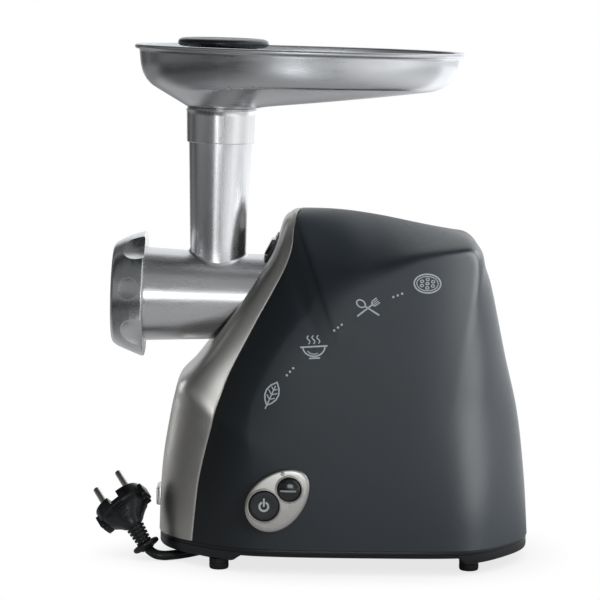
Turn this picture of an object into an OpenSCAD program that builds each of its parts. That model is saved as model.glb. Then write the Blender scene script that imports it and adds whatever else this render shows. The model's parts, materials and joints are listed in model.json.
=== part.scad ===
// Electric meat grinder: die-cast head with tray and pusher on a geared motor housing.
// Millimetres. +Z is up, the feet stand on Z = 0, the head points to -X.
// The origin is below the middle of the machine, at the height of the feet.

/* [Head] */
// Lean of the head and feed tube, nose up, in degrees
head_tilt = 1.3; // [0:0.1:3]
// Height of the head's axis at the feed tube
axis_z = 176; // [172:1:180]
// Outer radius of the barrel at the thread
barrel_r = 31.65; // [31:0.05:32]
// Outer radius of the barrel where it enters the housing
spigot_r = 29; // [28:0.1:30]
// Radius of the bore in which the auger turns
bore_r = 24; // [23:0.1:25]
// Outer radius of the ring nut
ring_r = 42.4; // [41:0.1:44]
// Length of the ring nut
ring_len = 21.8; // [21:0.1:23]
// Radius of the ring nut's outlet
outlet_r = 23; // [22:0.1:24]
// Radius of the hole plate
plate_r = 26.8; // [26:0.1:27]
// Thickness of the hole plate
plate_t = 5; // [4:0.1:5]
// Radius of one mincing hole
mince_r = 2.25; // [1.5:0.05:2.5]

/* [Tray and pusher] */
// Height of the tray's rim above the head's axis
rim_z = 169; // [165:0.1:171]
// Half the width of the tray
tray_hw = 68; // [64:1:74]
// Reach of the tray over the housing, from the tube's axis
tray_reach = 161; // [150:1:170]
// Sheet thickness of the tray
tray_t = 1.4; // [1.2:0.1:2]
// Radius of the pusher's cap
cap_r = 30.5; // [28:0.1:32]

/* [Housing] */
// Half the width of the housing at the base
body_hw = 78; // [74:0.5:80]
// Wall thickness of the housing shells
wall = 2.5; // [2:0.1:3]
// Gap between the shells and the front bezel, as a share of the local reach
seam = 0.0015; // [0.001:0.0005:0.003]
// Height of the joint between the shells and the base
base_top = 17; // [17:1:17]
// Radius of a foot
foot_r = 6.5; // [6:0.1:7]
// Height of a foot below the base
foot_h = 7.5; // [7.2:0.1:7.8]

/* [Drive] */
// Module of the output pair
m_out = 1.25; // [1.25:0.01:1.25]
// Module of the motor pair
m_in = 1; // [1:0.01:1]
// Teeth of each wheel
wheel_teeth = 60; // [60:1:60]
// Teeth of each pinion
pinion_teeth = 12; // [12:1:12]
// Backlash at the pitch circle
backlash = 0.2; // [0.15:0.01:0.25]
// Outer radius of the motor's stator
stator_r = 38; // [36:0.5:39]

/* [Controls] */
// Radius of the power button
power_r = 9.7; // [9:0.1:10]
// Radius of the reverse button
reverse_r = 7.5; // [7:0.1:8]

/* [Mains lead] */
// Diameter of the lead
cord_d = 6.5; // [6:0.1:7]
// Radius of a contact pin of the plug
pin_r = 2.4; // [2.4:0.1:2.4]
// Length of a contact pin
pin_len = 19; // [19:0.1:19]
// Distance between the contact pins
pin_pitch = 19; // [19:0.1:19]

/* [Hidden] */
$fn = 64;

black = "#2a2e31";
silver = "#8f8d88";
alloy = "#b9bbbd";
steel = "#9a9ea2";

// ---------- frames ----------
// The head's frame: its origin is where the feed tube's axis crosses the barrel's axis.
head_x = -70;
module head_frame() translate([head_x, 0, axis_z]) rotate([0, head_tilt, 0]) children();
// Turns something drawn along Z so that it lies along +X, towards the rear.
module along_x() rotate([0, 90, 0]) children();
// Something drawn along Z, put from point p towards point q.
module between(p, q) {
    d = q - p;
    translate(p) rotate([0, acos(d[2] / norm(d)), atan2(d[1], d[0])]) children();
}
// A solid ring along Z.
module tube(ro, ri, h) difference() {
    cylinder(r = ro, h = h);
    translate([0, 0, -1]) cylinder(r = ri, h = h + 2);
}

// ---------- housing surface ----------
// The housing is drawn from stations along its outline in side view. Each station has the
// outline point x and z, then rc, the share of the way from the pole at which the side
// turns into the face or roof, e, how full that face is, k, how sharp the turn is, and rs, where the front bezel meets the shells. The last three
// make the side lean in ahead of a soft crease: where that starts, how far, and how gently.
pole = [60, base_top];
stations = [
    [-108.8, 17, 0.8, 0.35, 4, 0.857, 0.6, 0.1, 2],
    [-108, 42, 0.8, 0.35, 4, 0.849, 0.6, 0.1, 2],
    [-106, 67, 0.8, 0.33, 4.5, 0.844, 0.61, 0.1, 2],
    [-102, 92, 0.81, 0.3, 5, 0.837, 0.63, 0.105, 2],
    [-98.3, 110, 0.82, 0.24, 6, 0.833, 0.655, 0.11, 1.9],
    [-94.5, 121.5, 0.83, 0.17, 7, 0.838, 0.69, 0.115, 1.8],
    [-84.5, 131.5, 0.84, 0.12, 8, 0.868, 0.735, 0.12, 1.65],
    [-73.4, 145.8, 0.85, 0.1, 9, 0.895, 0.775, 0.125, 1.5],
    [-52.5, 176, 0.84, 0.1, 12, 0.92, 0.8, 0.13, 1.35],
    [-34.5, 203, 0.82, 0.11, 12, 0.935, 0.8, 0.14, 1.25],
    [-28.3, 217, 0.79, 0.14, 12, 0.933, 0.775, 0.14, 1.2],
    [-24.5, 228.5, 0.77, 0.22, 12, 0.935, 0.765, 0.13, 1.2],
    [-19.5, 233.6, 0.77, 0.3, 12, 0.972, 0.765, 0.1, 1.2],
    [-12.5, 236, 0.785, 0.38, 13, 1, 0.77, 0.05, 1.2],
    [13, 235.6, 0.83, 0.55, 15, 1, 0.8, 0, 1.2],
    [38, 232.4, 0.868, 0.7, 17, 1, 0.8, 0, 1.2],
    [64.6, 227.1, 0.922, 0.7, 18, 1, 0.8, 0, 1.2],
    [89, 221.8, 0.965, 0.5, 16, 1, 0.8, 0, 1.2],
    [101, 217.5, 0.985, 0.25, 13, 1, 0.8, 0, 1.2],
    [107.5, 211, 0.97, 0.22, 8, 1, 0.8, 0, 1.2],
    [110.5, 200, 0.93, 0.22, 7, 1, 0.8, 0, 1.2],
    [115.5, 184, 0.88, 0.22, 6, 1, 0.8, 0, 1.2],
    [125, 140, 0.8, 0.23, 5.5, 1, 0.8, 0, 1.2],
    [134, 101, 0.72, 0.24, 5, 1, 0.8, 0, 1.2],
    [139.5, 57, 0.67, 0.25, 5, 1, 0.8, 0, 1.2],
    [142.3, 17, 0.65, 0.25, 5, 1, 0.8, 0, 1.2]];
n_st = len(stations) - 1;
seam_st = 13;
// A smooth curve through the stations: station number u may have a fraction.
function row(u) = let(i = min(max(floor(u), 0), n_st - 1), t = u - i,
    p1 = stations[i], p2 = stations[i + 1],
    p0 = i > 0 ? stations[i - 1] : 2 * p1 - p2,
    p3 = i + 2 <= n_st ? stations[i + 2] : 2 * p2 - p1)
    0.5 * (2 * p1 + (p2 - p0) * t + (2 * p0 - 5 * p1 + 4 * p2 - p3) * t * t
        + (3 * p1 - p0 - 3 * p2 + p3) * t * t * t);
// The side wall itself: a gentle swell, widest above the middle of the base.
function swell(x, z) = body_hw - 12 * pow(max(0, z - base_top) / 200, 2)
    - (x < pole[0] ? 6 * pow((pole[0] - x) / 168, 2) : 8 * pow((x - pole[0]) / 82, 2));
// Half width at share r of the way from the pole to the outline.
function lean(r, s) = 1 - s[7] * pow(min(1, max(0, (r - s[6]) / (s[5] - s[6]))), s[8]);
function wall_at(r, s) = swell(pole[0] + r * (s[0] - pole[0]), pole[1] + r * (s[1] - pole[1]));
function half(r, s) = r <= 0 ? body_hw : r >= 1 ? 0 : let(
    a = wall_at(r, s), b = wall_at(s[2], s) * pow((1 - r) / (1 - s[2]), s[3]) * s[2] / r)
    lean(r, s) * pow(pow(a, -s[4]) + pow(b, -s[4]), -1 / s[4]);
// The outline moved inwards by t, square to itself. The two bottom ends stay on the base.
function inward(u, t) = let(s = row(u),
    a = row(max(u - 0.02, 0)), b = row(min(u + 0.02, n_st)),
    d = [b[0] - a[0], b[1] - a[1]], l = norm(d))
    (u <= 0) ? [s[0] + t, s[1]] : (u >= n_st) ? [s[0] - t, s[1]]
    : [s[0] + t * d[1] / l, s[1] - t * d[0] / l];
// A point of the surface: t is the depth below the outer face, side is -1 or 1.
function skin(u, r, t, side) = let(s = row(u), o = t > 0 ? inward(u, t) : [s[0], s[1]])
    [pole[0] + r * (o[0] - pole[0]), side * half(r, s) * (body_hw - t) / body_hw, pole[1] + r * (o[1] - pole[1])];

// Joins two equal grids of points, outer and inner, into one closed wall.
module wall_between(outer, inner) {
    ni = len(outer); nj = len(outer[0]);
    pts = concat([for (g = outer, p = g) p], [for (g = inner, p = g) p]);
    function o(i, j) = i * nj + j;
    function n(i, j) = ni * nj + i * nj + j;
    polyhedron(points = pts, convexity = 8, faces = concat(
        [for (i = [0:ni - 2], j = [0:nj - 2], h = [0, 1]) h ? [o(i, j), o(i + 1, j), o(i + 1, j + 1)] : [o(i, j), o(i + 1, j + 1), o(i, j + 1)]],
        [for (i = [0:ni - 2], j = [0:nj - 2], h = [0, 1]) h ? [n(i, j), n(i + 1, j + 1), n(i + 1, j)] : [n(i, j), n(i, j + 1), n(i + 1, j + 1)]],
        [for (i = [0:ni - 2], h = [0, 1]) h ? [o(i, 0), n(i, 0), n(i + 1, 0)] : [o(i, 0), n(i + 1, 0), o(i + 1, 0)]],
        [for (i = [0:ni - 2], h = [0, 1]) h ? [o(i, nj - 1), n(i + 1, nj - 1), n(i, nj - 1)] : [o(i, nj - 1), o(i + 1, nj - 1), n(i + 1, nj - 1)]],
        [for (j = [0:nj - 2], h = [0, 1]) h ? [o(0, j), n(0, j + 1), n(0, j)] : [o(0, j), o(0, j + 1), n(0, j + 1)]],
        [for (j = [0:nj - 2], h = [0, 1]) h ? [o(ni - 1, j), n(ni - 1, j), n(ni - 1, j + 1)] : [o(ni - 1, j), n(ni - 1, j + 1), o(ni - 1, j + 1)]]));
}
// One half shell, on side -1 or 1.
shell_u = [for (i = [0:0.5:n_st]) i];
shell_v = [for (j = [0:12]) 1 - pow(1 - j / 12, 1.9)];
module half_shell(side) {
    function grid(t) = [for (u = shell_u) let(rs = row(u)[5], top = u < seam_st ? rs - seam : 1)
        [for (v = shell_v) skin(u, top * (u < seam_st ? (v + 2 * v * v) / 3 : v), t, side)]];
    if (side < 0) wall_between(grid(0), grid(wall));
    else mirror([0, 1, 0]) half_shell(-1);
}
// The bezel's skin runs over both sides of the front, up to where the shells meet above it.
bez_u = [for (i = [0:0.5:seam_st]) i];
bez_v = [for (j = [-8:8]) j];
module bezel_skin() {
    function grid(t) = [for (u = bez_u) let(rs = u < seam_st ? row(u)[5] + seam : 1)
        [for (j = bez_v) skin(u, 1 - (1 - rs) * pow(abs(j) / 8, 2.2), t, j < 0 ? -1 : 1)]];
    wall_between(grid(0), grid(wall));
}

// ---------- drive: wheels and pinions ----------
pressure = 25;
function inv(a) = tan(a) * 180 / PI - a;
// Half the angle that a tooth covers at radius r.
function tooth_a(m, z, r) = let(rp = m * z / 2, rb = rp * cos(pressure))
    (PI * m / 2 - backlash) / 2 / rp * 180 / PI + inv(pressure) - inv(r > rb ? acos(rb / r) : 0);
module gear2d(m, z, tip) {
    rp = m * z / 2; rb = rp * cos(pressure); rf = rp - 1.2 * m; ra = rp + tip * m; rs = max(rb, rf + 0.05);
    radii = [for (i = [0:3]) rs + (ra - rs) * i / 3];
    polygon([for (k = [0:z - 1]) let(c = k * 360 / z)
        for (p = concat([[rf, c - tooth_a(m, z, rs) - 0.5]],
            [for (r = radii) [r, c - tooth_a(m, z, r)]],
            [for (i = [3:-1:0]) [radii[i], c + tooth_a(m, z, radii[i])]],
            [[rf, c + tooth_a(m, z, rs) + 0.5]])) p[0] * [cos(p[1]), sin(p[1])]]);
}
z_mid = -m_out * (wheel_teeth + pinion_teeth) / 2;
z_mot = z_mid - m_in * (wheel_teeth + pinion_teeth) / 2;
// Places something drawn along Z on a shaft: x from the tube's axis, z from the head's axis.
module on_shaft(x, z) head_frame() translate([x, 0, z]) along_x() children();

// ---------- housing ----------
face_a = 28;
lock_at = [-32.2, 0, 209];
module lock_frame() translate(lock_at) rotate([0, face_a, 0]) children();
plate_at = [-27, -76.9, 51];
plate_rot = [-2, 0, -3.6];
module plate_frame() translate(plate_at) rotate(plate_rot) rotate([90, 0, 0]) children();
big_c = [-6.5, -6.2];
small_c = [8.8, 8.7];
power_c = [-9.2, -4.1];
reverse_c = [7.3, 7.1];
module egg2d(g) {
    // An egg: the radius falls smoothly from the big end to the small end.
    d = small_c - big_c; a0 = atan2(d[1], d[0]); l = norm(d); m = (big_c + small_c) / 2 - 1.6 * d / l;
    polygon([for (i = [0:59]) let(t = i * 6, w = (17.3 - 2.1 * cos(t) + g) * sin(t), h = (l / 2 + 13.7 + g) * cos(t))
        m + h * d / l + w * [-d[1], d[0]] / l]);
}
gland_at = [60, 78, 24];

module shell_left() color(black) difference() {
    half_shell(-1);
    plate_frame() translate([power_c[0], power_c[1], -8]) cylinder(r = power_r + 0.6, h = 16);
    plate_frame() translate([reverse_c[0], reverse_c[1], -8]) cylinder(r = reverse_r + 0.6, h = 16);
}
module shell_right() color(black) difference() {
    half_shell(1);
    translate([gland_at[0], gland_at[1] - 10, gland_at[2]]) rotate([-90, 0, 0]) cylinder(r = 5.1, h = 20);
}
clip_z = 32.5;
module front_bezel() color(silver) difference() {
    bezel_skin();
    head_frame() along_x() translate([0, 0, -40]) cylinder(r = 32.4, h = 100);
    translate([-116, -8.2, clip_z - 0.2]) cube([20, 16.4, 14.6]);
    lock_frame() translate([-12, -14.2, -12.2]) cube([30, 28.4, 22.4]);
}
// Ring round the head's spigot, behind the bezel; above it the lock's surround stands in the bezel's opening.
module socket_collar() color("#1b1d20") difference() {
    union() {
        difference() {
            head_frame() along_x() union() {
                translate([0, 0, -16]) cylinder(r = 34, h = 75.8);
                translate([0, 0, 54]) cylinder(r = 40, h = 5.8);
            }
            // everything ahead of the bezel's back
            translate([-73.4, -50, 145.8]) rotate([0, 34.2, 0]) translate([-75, 0, -60]) cube([80, 100, 200]);
        }
        lock_frame() translate([-1.4, -14, -12]) cube([9, 28, 22]);
    }
    head_frame() along_x() translate([0, 0, -20]) cylinder(r = spigot_r + 0.4, h = 90);
    head_frame() along_x() translate([0, 0, -47.6]) cylinder(r1 = barrel_r + 0.5, r2 = spigot_r + 0.45, h = 58);
    head_frame() translate([10, -9.4, 29.5]) cube([44, 18.8, 10.9]);
    head_frame() translate([40, -4.4, 26]) cube([13, 8.8, 5]);
    lock_frame() translate([-81.4, -50, -11]) cube([80, 100, 60]);
}
// The button slides in its pocket; its pin stands in the slot of the head's spigot.
module lock_button() color("#15171a") difference() {
    head_frame() {
        translate([20, -9, 29.9]) cube([30, 18, 10.1]);
        translate([41, -4, 26.6]) cube([5, 8, 4]);
    }
    lock_frame() translate([-43.4, -20, -60]) cube([40, 40, 120]);
    lock_frame() translate([-3.4, -20, 4]) rotate([0, -30, 0]) translate([-8, 0, 0]) cube([8, 40, 12]);
}
// Outline of the base at inset g.
function base_line(g) = let(n = 16)
    concat([for (j = [0:n]) let(v = 1 - pow(j / n, 2), p = skin(0, v, 0, -1)) [p[0] + g * (v), p[1] + g * min(1, (1 - v) * 20)]],
        [for (j = [1:n]) let(v = 1 - pow(1 - j / n, 2), p = skin(n_st, v, 0, -1)) [p[0] - g * v, p[1] + g * min(1, (1 - v) * 20)]],
        [for (j = [n - 1:-1:0]) let(v = 1 - pow(1 - j / n, 2), p = skin(n_st, v, 0, 1)) [p[0] - g * v, p[1] - g * min(1, (1 - v) * 20)]],
        [for (j = [n - 1:-1:1]) let(v = 1 - pow(j / n, 2), p = skin(0, v, 0, 1)) [p[0] + g * v, p[1] - g * min(1, (1 - v) * 20)]]);
foot_at = [[-66.4, -55.3], [-66.4, 55.3], [100.1, -55.3], [100.1, 55.3]];
pad_z = foot_h;
module base_plate() color("#1d2023") difference() {
    union() {
        translate([0, 0, pad_z + 4]) linear_extrude(base_top - pad_z - 4.1) polygon(base_line(0.6));
        intersection() {
            translate([0, 0, pad_z]) linear_extrude(5) polygon(base_line(2));
            union() {
                translate([-120, -90, pad_z]) cube([68, 180, 5]);
                translate([92, -90, pad_z]) cube([60, 180, 5]);
            }
        }
    }
    translate([0, 0, pad_z + 6.6]) linear_extrude(10) polygon(base_line(5));
    for (i = [-5:5]) translate([20 + i * 8 - 1.75, -24, 0]) cube([3.5, 48, 20]);
    for (f = foot_at) translate([f[0], f[1], 0]) cylinder(r = 1.8, h = 30);
}
module feet() color("#121315") for (f = foot_at) translate([f[0], f[1], 0]) difference() {
    union() {
        cylinder(r1 = foot_r - 0.6, r2 = foot_r, h = 1.2);
        translate([0, 0, 1.2]) cylinder(r = foot_r, h = pad_z - 1.25);
    }
    translate([0, 0, -1]) cylinder(r = 3.4, h = 4);
    cylinder(r = 1.8, h = 20);
}
module foot_screws() color(steel) for (f = foot_at) translate([f[0], f[1], 1.5]) {
    difference() {
        translate([0, 0, -0.3]) cylinder(r = 3, h = 1.75);
        for (a = [0, 90]) rotate(a) translate([-1.8, -0.4, -1]) cube([3.6, 0.8, 1.6]);
    }
    translate([0, 0, 1.4]) cylinder(r = 1.5, h = 14);
}
module cord_clip() color(silver) difference() {
    union() {
        translate([-110.8, -8, clip_z]) cube([7, 16, 14.2]);
        translate([-107.8, -8, clip_z - 2]) cube([1.8, 16, 2]);
    }
    translate([-109.4, -10, clip_z + 1.6]) cube([4.3, 20, 10.6]);
    translate([-109.3, -10, clip_z + 16.4]) rotate([0, -30, 0]) translate([-6, 0, -3]) cube([6, 20, 8]);
    translate([-112.4, -10, clip_z - 5.6]) rotate([0, -45, 0]) cube([4.4, 20, 4.4]);
    translate([-108.6, -10, clip_z - 3]) cube([3, 20, 2.9]);
}
module button_plate() color("#aaa9a5") plate_frame() difference() {
    linear_extrude(1.8) egg2d(0);
    translate([power_c[0], power_c[1], -1]) cylinder(r = power_r + 0.3, h = 5);
    translate([reverse_c[0], reverse_c[1], -1]) cylinder(r = reverse_r + 0.3, h = 5);
    translate([2.9, 17.4, -1]) cylinder(r = 1.3, h = 5);
}
module button(c, r, proud) plate_frame() translate([c[0], c[1], 0]) {
    translate([0, 0, -4.4]) cylinder(r = r, h = 4.4 + proud);
    translate([0, 0, -9.5]) cylinder(r = 2.4, h = 5.5);
}
module power_button() color("#26292c") button(power_c, power_r, 2.6);
module reverse_button() color("#08090a") button(reverse_c, reverse_r, 2.9);
module indicator_lamp() color("#d8d8d4") plate_frame() translate([2.9, 17.4, -0.4]) cylinder(r = 1.2, h = 2.5);
module switch_block(c, shift, w) plate_frame() difference() {
    translate([c[0] + shift[0] - w / 2, c[1] + shift[1] - w / 2, -30]) cube([w, w, 22]);
    translate([c[0], c[1], -14.5]) cylinder(r = 2.8, h = 10);
}
module power_switch() color("#3a3d40") switch_block(power_c, [-1.2, -1], 14);
module reverse_switch() color("#3a3d40") switch_block(reverse_c, [0.6, 1], 11);

// ---------- head ----------
// In the head's frame: distances along the barrel are from the feed tube's axis.
nose = -66;
tube_top = 126;
function tube_ro(z) = 19 + 0.0351 * (z - 31);
function tube_ri(z) = tube_ro(z) - 2;
seat_z = 104;
module head_casting() color(alloy) head_frame() difference() {
    union() {
        along_x() {
            translate([0, 0, nose]) cylinder(r = barrel_r, h = -47.6 - nose);
            translate([0, 0, -47.6]) cylinder(r1 = barrel_r, r2 = spigot_r, h = 57.6);
            translate([0, 0, 10]) cylinder(r = spigot_r, h = 48);
        }
        // the tube is straight where the tray's collar sits, so that the tray lifts off
        rotate_extrude() polygon([[0, 0], [tube_ro(0), 0], [tube_ro(seat_z), seat_z], [tube_ro(seat_z), tube_top], [0, tube_top]]);
        translate([0, 0, 24]) cylinder(r1 = 24, r2 = 19.6, h = 9);
    }
    along_x() {
        translate([0, 0, nose - 1]) cylinder(r = plate_r + 0.3, h = 13);
        translate([0, 0, nose]) cylinder(r = bore_r, h = 106);
        translate([0, 0, 30]) cylinder(r = 8.3, h = 30);
        translate([0, 0, 46]) cylinder(r = bore_r, h = 20);
    }
    translate([0, 0, 10]) cylinder(r1 = tube_ri(10), r2 = tube_ri(tube_top + 1), h = tube_top - 9);
    // slot for the lock's pin, open to the rear
    translate([38, -4.6, spigot_r - 3]) cube([21, 9.2, 6]);
}
// Helical flight: a ribbon swept along the core.
flight_from = -52; flight_to = 36; pitch = 31; steps = 66;
function flight_pt(i, k) = let(x = flight_from + (flight_to - flight_from) * i / steps, a = 360 * (x - flight_from) / pitch,
    e = min(1, i / 6, (steps - i) / 6), r = k < 2 ? 7.5 : 9 + (bore_r - 0.7 - 9) * e, w = (k == 0 || k == 3) ? -1 : 1, h = k < 2 ? 3 : 1.6)
    [x + w * h, r * cos(a), r * sin(a)];
module auger() color(alloy) head_frame() difference() { union() {
    along_x() translate([0, 0, -55.1]) cylinder(r1 = 9.5, r2 = 12.5, h = 94.1);
    polyhedron(convexity = 10, points = [for (i = [0:steps], k = [0:3]) flight_pt(i, k)],
        faces = concat([[0, 1, 2, 3]], [[for (k = [3:-1:0]) steps * 4 + k]],
            [for (i = [0:steps - 1], k = [0:3], h = [0, 1]) let(a = i * 4 + k, b = i * 4 + (k + 1) % 4)
                h ? [a, a + 4, b + 4] : [a, b + 4, b]]));
    }
    along_x() translate([0, 0, -60]) cylinder(r = 4, h = 110);
}
// Steel shank through the auger: hexagon for the drive, pin for the plate, square for the knife.
module auger_shank() color(steel) head_frame() along_x() {
    translate([0, 0, -66.2]) cylinder(r = 3.9, h = 6);
    translate([-4, -4, -60.5]) cube([8, 8, 5.35]);
    translate([0, 0, -60.4]) cylinder(r = 3.9, h = 100.4);
    translate([0, 0, 39.05]) cylinder(r = 8, h = 8.5);
    translate([0, 0, 47.5]) cylinder(r = 7, h = 8.5, $fn = 6);
}
module auger_washer() color("#d9d7cf") head_frame() along_x() translate([0, 0, 39.1]) tube(14, 8.1, 0.8);
module knife() color(steel) head_frame() along_x() translate([0, 0, -61.3]) difference() {
    union() {
        cylinder(r = 9, h = 5);
        for (a = [0:90:270]) rotate(a) linear_extrude(3.4) polygon([[0, -4.5], [22.4, -2.6], [22, 3.4], [0, 4.5]]);
    }
    translate([-4.1, -4.1, -1]) cube([8.2, 8.2, 8]);
}
module hole_plate() color(steel) head_frame() along_x() translate([0, 0, -66.5]) difference() {
    cylinder(r = plate_r, h = plate_t);
    translate([0, 0, -1]) cylinder(r = 4, h = 8);
    for (ring = [[8.6, 6], [14.2, 12], [19.8, 18]], i = [0:ring[1] - 1])
        rotate(i * 360 / ring[1] + ring[0] * 3) translate([ring[0], 0, -1]) cylinder(r = mince_r, h = 8);
}
module ring_nut() color(alloy) head_frame() along_x() translate([0, 0, -70.4]) difference() {
    rotate_extrude() polygon([[outlet_r, 0], [31.6, 0], [33, 0.5], [34.4, 1.8], [36, 4.2], [38.3, 8.5], [40.3, 13.2],
        [41.7, 18], [ring_r, ring_len - 0.8], [ring_r - 0.6, ring_len], [barrel_r + 0.3, ring_len], [barrel_r + 0.3, 3.8], [outlet_r, 3.8]]);
    // finger dimples in the cone: four small round ones, and four wide ones between them that run out at the rear edge
    for (i = [0:3]) rotate(i * 90 - 11) {
        translate([70, 0, -0.1]) sphere(r = 34);
        rotate(45) translate([73.5, 0, 10.5]) sphere(r = 36);
    }
}

// ---------- tray and pusher, in the head's frame ----------
hole_r = 20.6;
// The tray is an oval, widest at x = tray_mid. Its outline less g, at parameter q.
tray_mid = 62; tray_front = 58;
function outline(q, g) = let(c = cos(q), s = sin(q))
    [tray_mid + (c < 0 ? -(tray_mid + tray_front - g) * pow(-c, 0.94) : (tray_reach - tray_mid - g) * pow(c, 0.87)),
     sign(s) * (tray_hw - g) * pow(abs(s), c < 0 ? 0.94 : 0.87)];
// The wall falls from the lip, turns through a curve and runs on as a sloping floor to the hole.
// c is the cosine of the direction from the tube's axis: -1 towards the nose, 1 towards the rear.
function foot_g(c) = 5 + (c < 0 ? 1.7 * c : 2.3 * pow(c, 12));
function foot_z(c) = -23.8 - (c < 0 ? 0.8 * c : 1.2 * pow(c, 12));
function turn(c) = 9.5 - 4.5 * min(1, max(0, c) / 0.6) + 11 * pow(max(0, c), 24);
seat_d = 24.6; seat_dz = -40.3;
// How far the inside stands off: inwards at the wall, upwards at the floor.
lift = [[0, 0], [1.4, 0.9], [1, 0.05], [0.95, 0.3], [0.7, 0.7], [0.3, 0.95], [0, 1], [0.1, 1], [0, 1]];
function pt3(v, z) = [v[0], v[1], z];
// Points of the sheet from the rim's edge to the hole: 1 under the lip, 2 wall, 3 to 5 turn, 6 and 7 floor, 8 hole.
function tray_pt(q, i, inner) = let(o = outline(q, 0), dir = o / norm(o), c = dir[0], h = inner * lift[i][0] * tray_t,
        g = foot_g(c), k = pt3(outline(q, g + h), foot_z(c)), seat = pt3(seat_d * dir, seat_dz),
        w = pt3(outline(q, 2.4 - 0.5 * pow(max(0, c), 12) + h), -9.4), b = k + (seat - k) * turn(c) / norm(outline(q, g) - seat_d * dir), t = (i - 2) / 3,
        p = i == 0 ? pt3(o, 0) : i == 1 ? pt3(outline(q, 1.6 + h), -2.6) : i < 6 ? (1 - t) * (1 - t) * w + 2 * t * (1 - t) * k + t * t * b
          : i == 6 ? (b + seat) / 2 - [0, 0, 0.6 * max(0, c)] : i == 7 ? seat - [h * dir[0], h * dir[1], 0] : pt3(hole_r * dir, tube_top + 0.4 - rim_z))
    p + [0, 0, rim_z + inner * lift[i][1] * tray_t];
module tray() color(alloy) head_frame() union() {
    na = 80;
    polyhedron(points = [for (j = [0:na - 1]) let(a = j * 360 / na)
            for (q = concat([for (i = [0:8]) tray_pt(a, i, 1)], [for (i = [8:-1:1]) tray_pt(a, i, 0)])) q],
        convexity = 10,
        faces = [for (j = [0:na - 1], k = [0:16], h = [0, 1]) let(j2 = (j + 1) % na, k2 = (k + 1) % 17)
            h ? [j * 17 + k, j2 * 17 + k2, j2 * 17 + k] : [j * 17 + k, j * 17 + k2, j2 * 17 + k2]]);
    difference() {
        translate([0, 0, 105]) cylinder(r1 = 23, r2 = 23.6, h = 22.4);
        translate([0, 0, 104]) cylinder(r = tube_ro(seat_z) + 0.3, h = tube_top - 103.8);
        translate([0, 0, 120]) cylinder(r = hole_r + 0.6, h = 20);
    }
}
push_z = tube_top + 3.8;
module pusher_body() color(black) head_frame() difference() {
    union() {
        translate([0, 0, 27]) cylinder(r1 = tube_ri(27) - 0.35, r2 = tube_ri(push_z) - 0.5, h = push_z - 27);
        translate([0, 0, push_z]) cylinder(r = 23, h = rim_z - 0.7 - push_z);
    }
    translate([0, 0, 30]) cylinder(r1 = tube_ri(30) - 2.6, r2 = tube_ri(push_z) - 2.6, h = 150);
}
module pusher_cap() color(black) head_frame() translate([0, 0, rim_z - 0.7]) {
    rotate_extrude() polygon([[0, 0], [cap_r - 2.4, 0], [cap_r - 0.4, 1.2], [cap_r, 2.8], [cap_r - 1.4, 4.6], [cap_r - 5, 5.7], [0, 6]]);
}

// ---------- gearbox ----------
gb_x = 60;
gb_len = 34;
module box2d(g) {
    circle(r = 43 + g);
    translate([-z_mid, 0]) circle(r = 36 + g);
    translate([-z_mot, 0]) circle(r = 12 + g);
    polygon([[0, -43 - g], [-z_mid, -36 - g], [-z_mid, 36 + g], [0, 43 + g]]);
    polygon([[-z_mid + 20, -29 - g], [-z_mot, -12 - g], [-z_mot, 12 + g], [-z_mid + 20, 29 + g]]);
}
gb_screws = [[-32, 32], [-32, -32], [24, 42], [24, -42], [67, 29.5], [67, -29.5]];
module gearbox_housing() color("#3c3f42") on_shaft(gb_x, 0) difference() {
    union() {
        linear_extrude(gb_len) box2d(0);
        for (s = gb_screws) translate([s[0], s[1], 0]) cylinder(r = 4, h = gb_len);
    }
    translate([0, 0, 4]) linear_extrude(gb_len) box2d(-2.5);
    translate([0, 0, -1]) cylinder(r = 9.5, h = 8);
    translate([-z_mid, 0, 1.5]) cylinder(r = 7, h = 8);
    for (s = gb_screws) translate([s[0], s[1], 10]) cylinder(r = 1.5, h = 40);
}
module gearbox_cover() color("#3c3f42") on_shaft(gb_x + gb_len, 0) difference() {
    union() {
        linear_extrude(3) box2d(0);
        for (s = gb_screws) translate([s[0], s[1], 0]) cylinder(r = 4, h = 3);
        // seat of the motor's front bearing
        translate([-z_mot, 0, 0]) cylinder(r = 11, h = 7.6);
    }
    translate([-z_mid, 0, -1]) cylinder(r = 7, h = 2.6);
    translate([-z_mot, 0, -1]) cylinder(r = 8.65, h = 12);
    for (s = gb_screws) translate([s[0], s[1], -1]) cylinder(r = 1.8, h = 8);
}
module gearbox_screws() color(steel) for (s = gb_screws) on_shaft(gb_x + gb_len, 0) translate([s[0], s[1], 0]) {
    translate([0, 0, 3.05]) difference() {
        cylinder(r = 2.9, h = 2);
        for (a = [0, 90]) rotate(a) translate([-1.7, -0.4, 1]) cube([3.4, 0.8, 3]);
    }
    translate([0, 0, -12]) cylinder(r = 1.45, h = 15.1);
}
module drive_coupling() color(steel) on_shaft(47, 0) difference() {
    cylinder(r = 13, h = 12.6);
    translate([0, 0, -1]) cylinder(r = 7.35, h = 10.6, $fn = 6);
    translate([0, 0, -1]) cylinder(r = 8.3, h = 1.7);
}
module output_gear() color("#c9c4b4") {
    on_shaft(59.65, 0) cylinder(r = 6, h = 29);
    on_shaft(68, 0) linear_extrude(13) rotate(180 / wheel_teeth) gear2d(m_out, wheel_teeth, 0.85);
    on_shaft(65, 0) cylinder(r = 12, h = 20);
}
module output_bushing() color("#a8804c") on_shaft(gb_x, 0) tube(9.5, 6.05, 4.8);
module intermediate_gear() color("#c9c4b4") on_shaft(84.4, z_mid) difference() {
    linear_extrude(7.6) gear2d(m_in, wheel_teeth, 0.85);
    translate([0, 0, -1]) cylinder(r = 5.05, h = 10);
}
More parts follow.
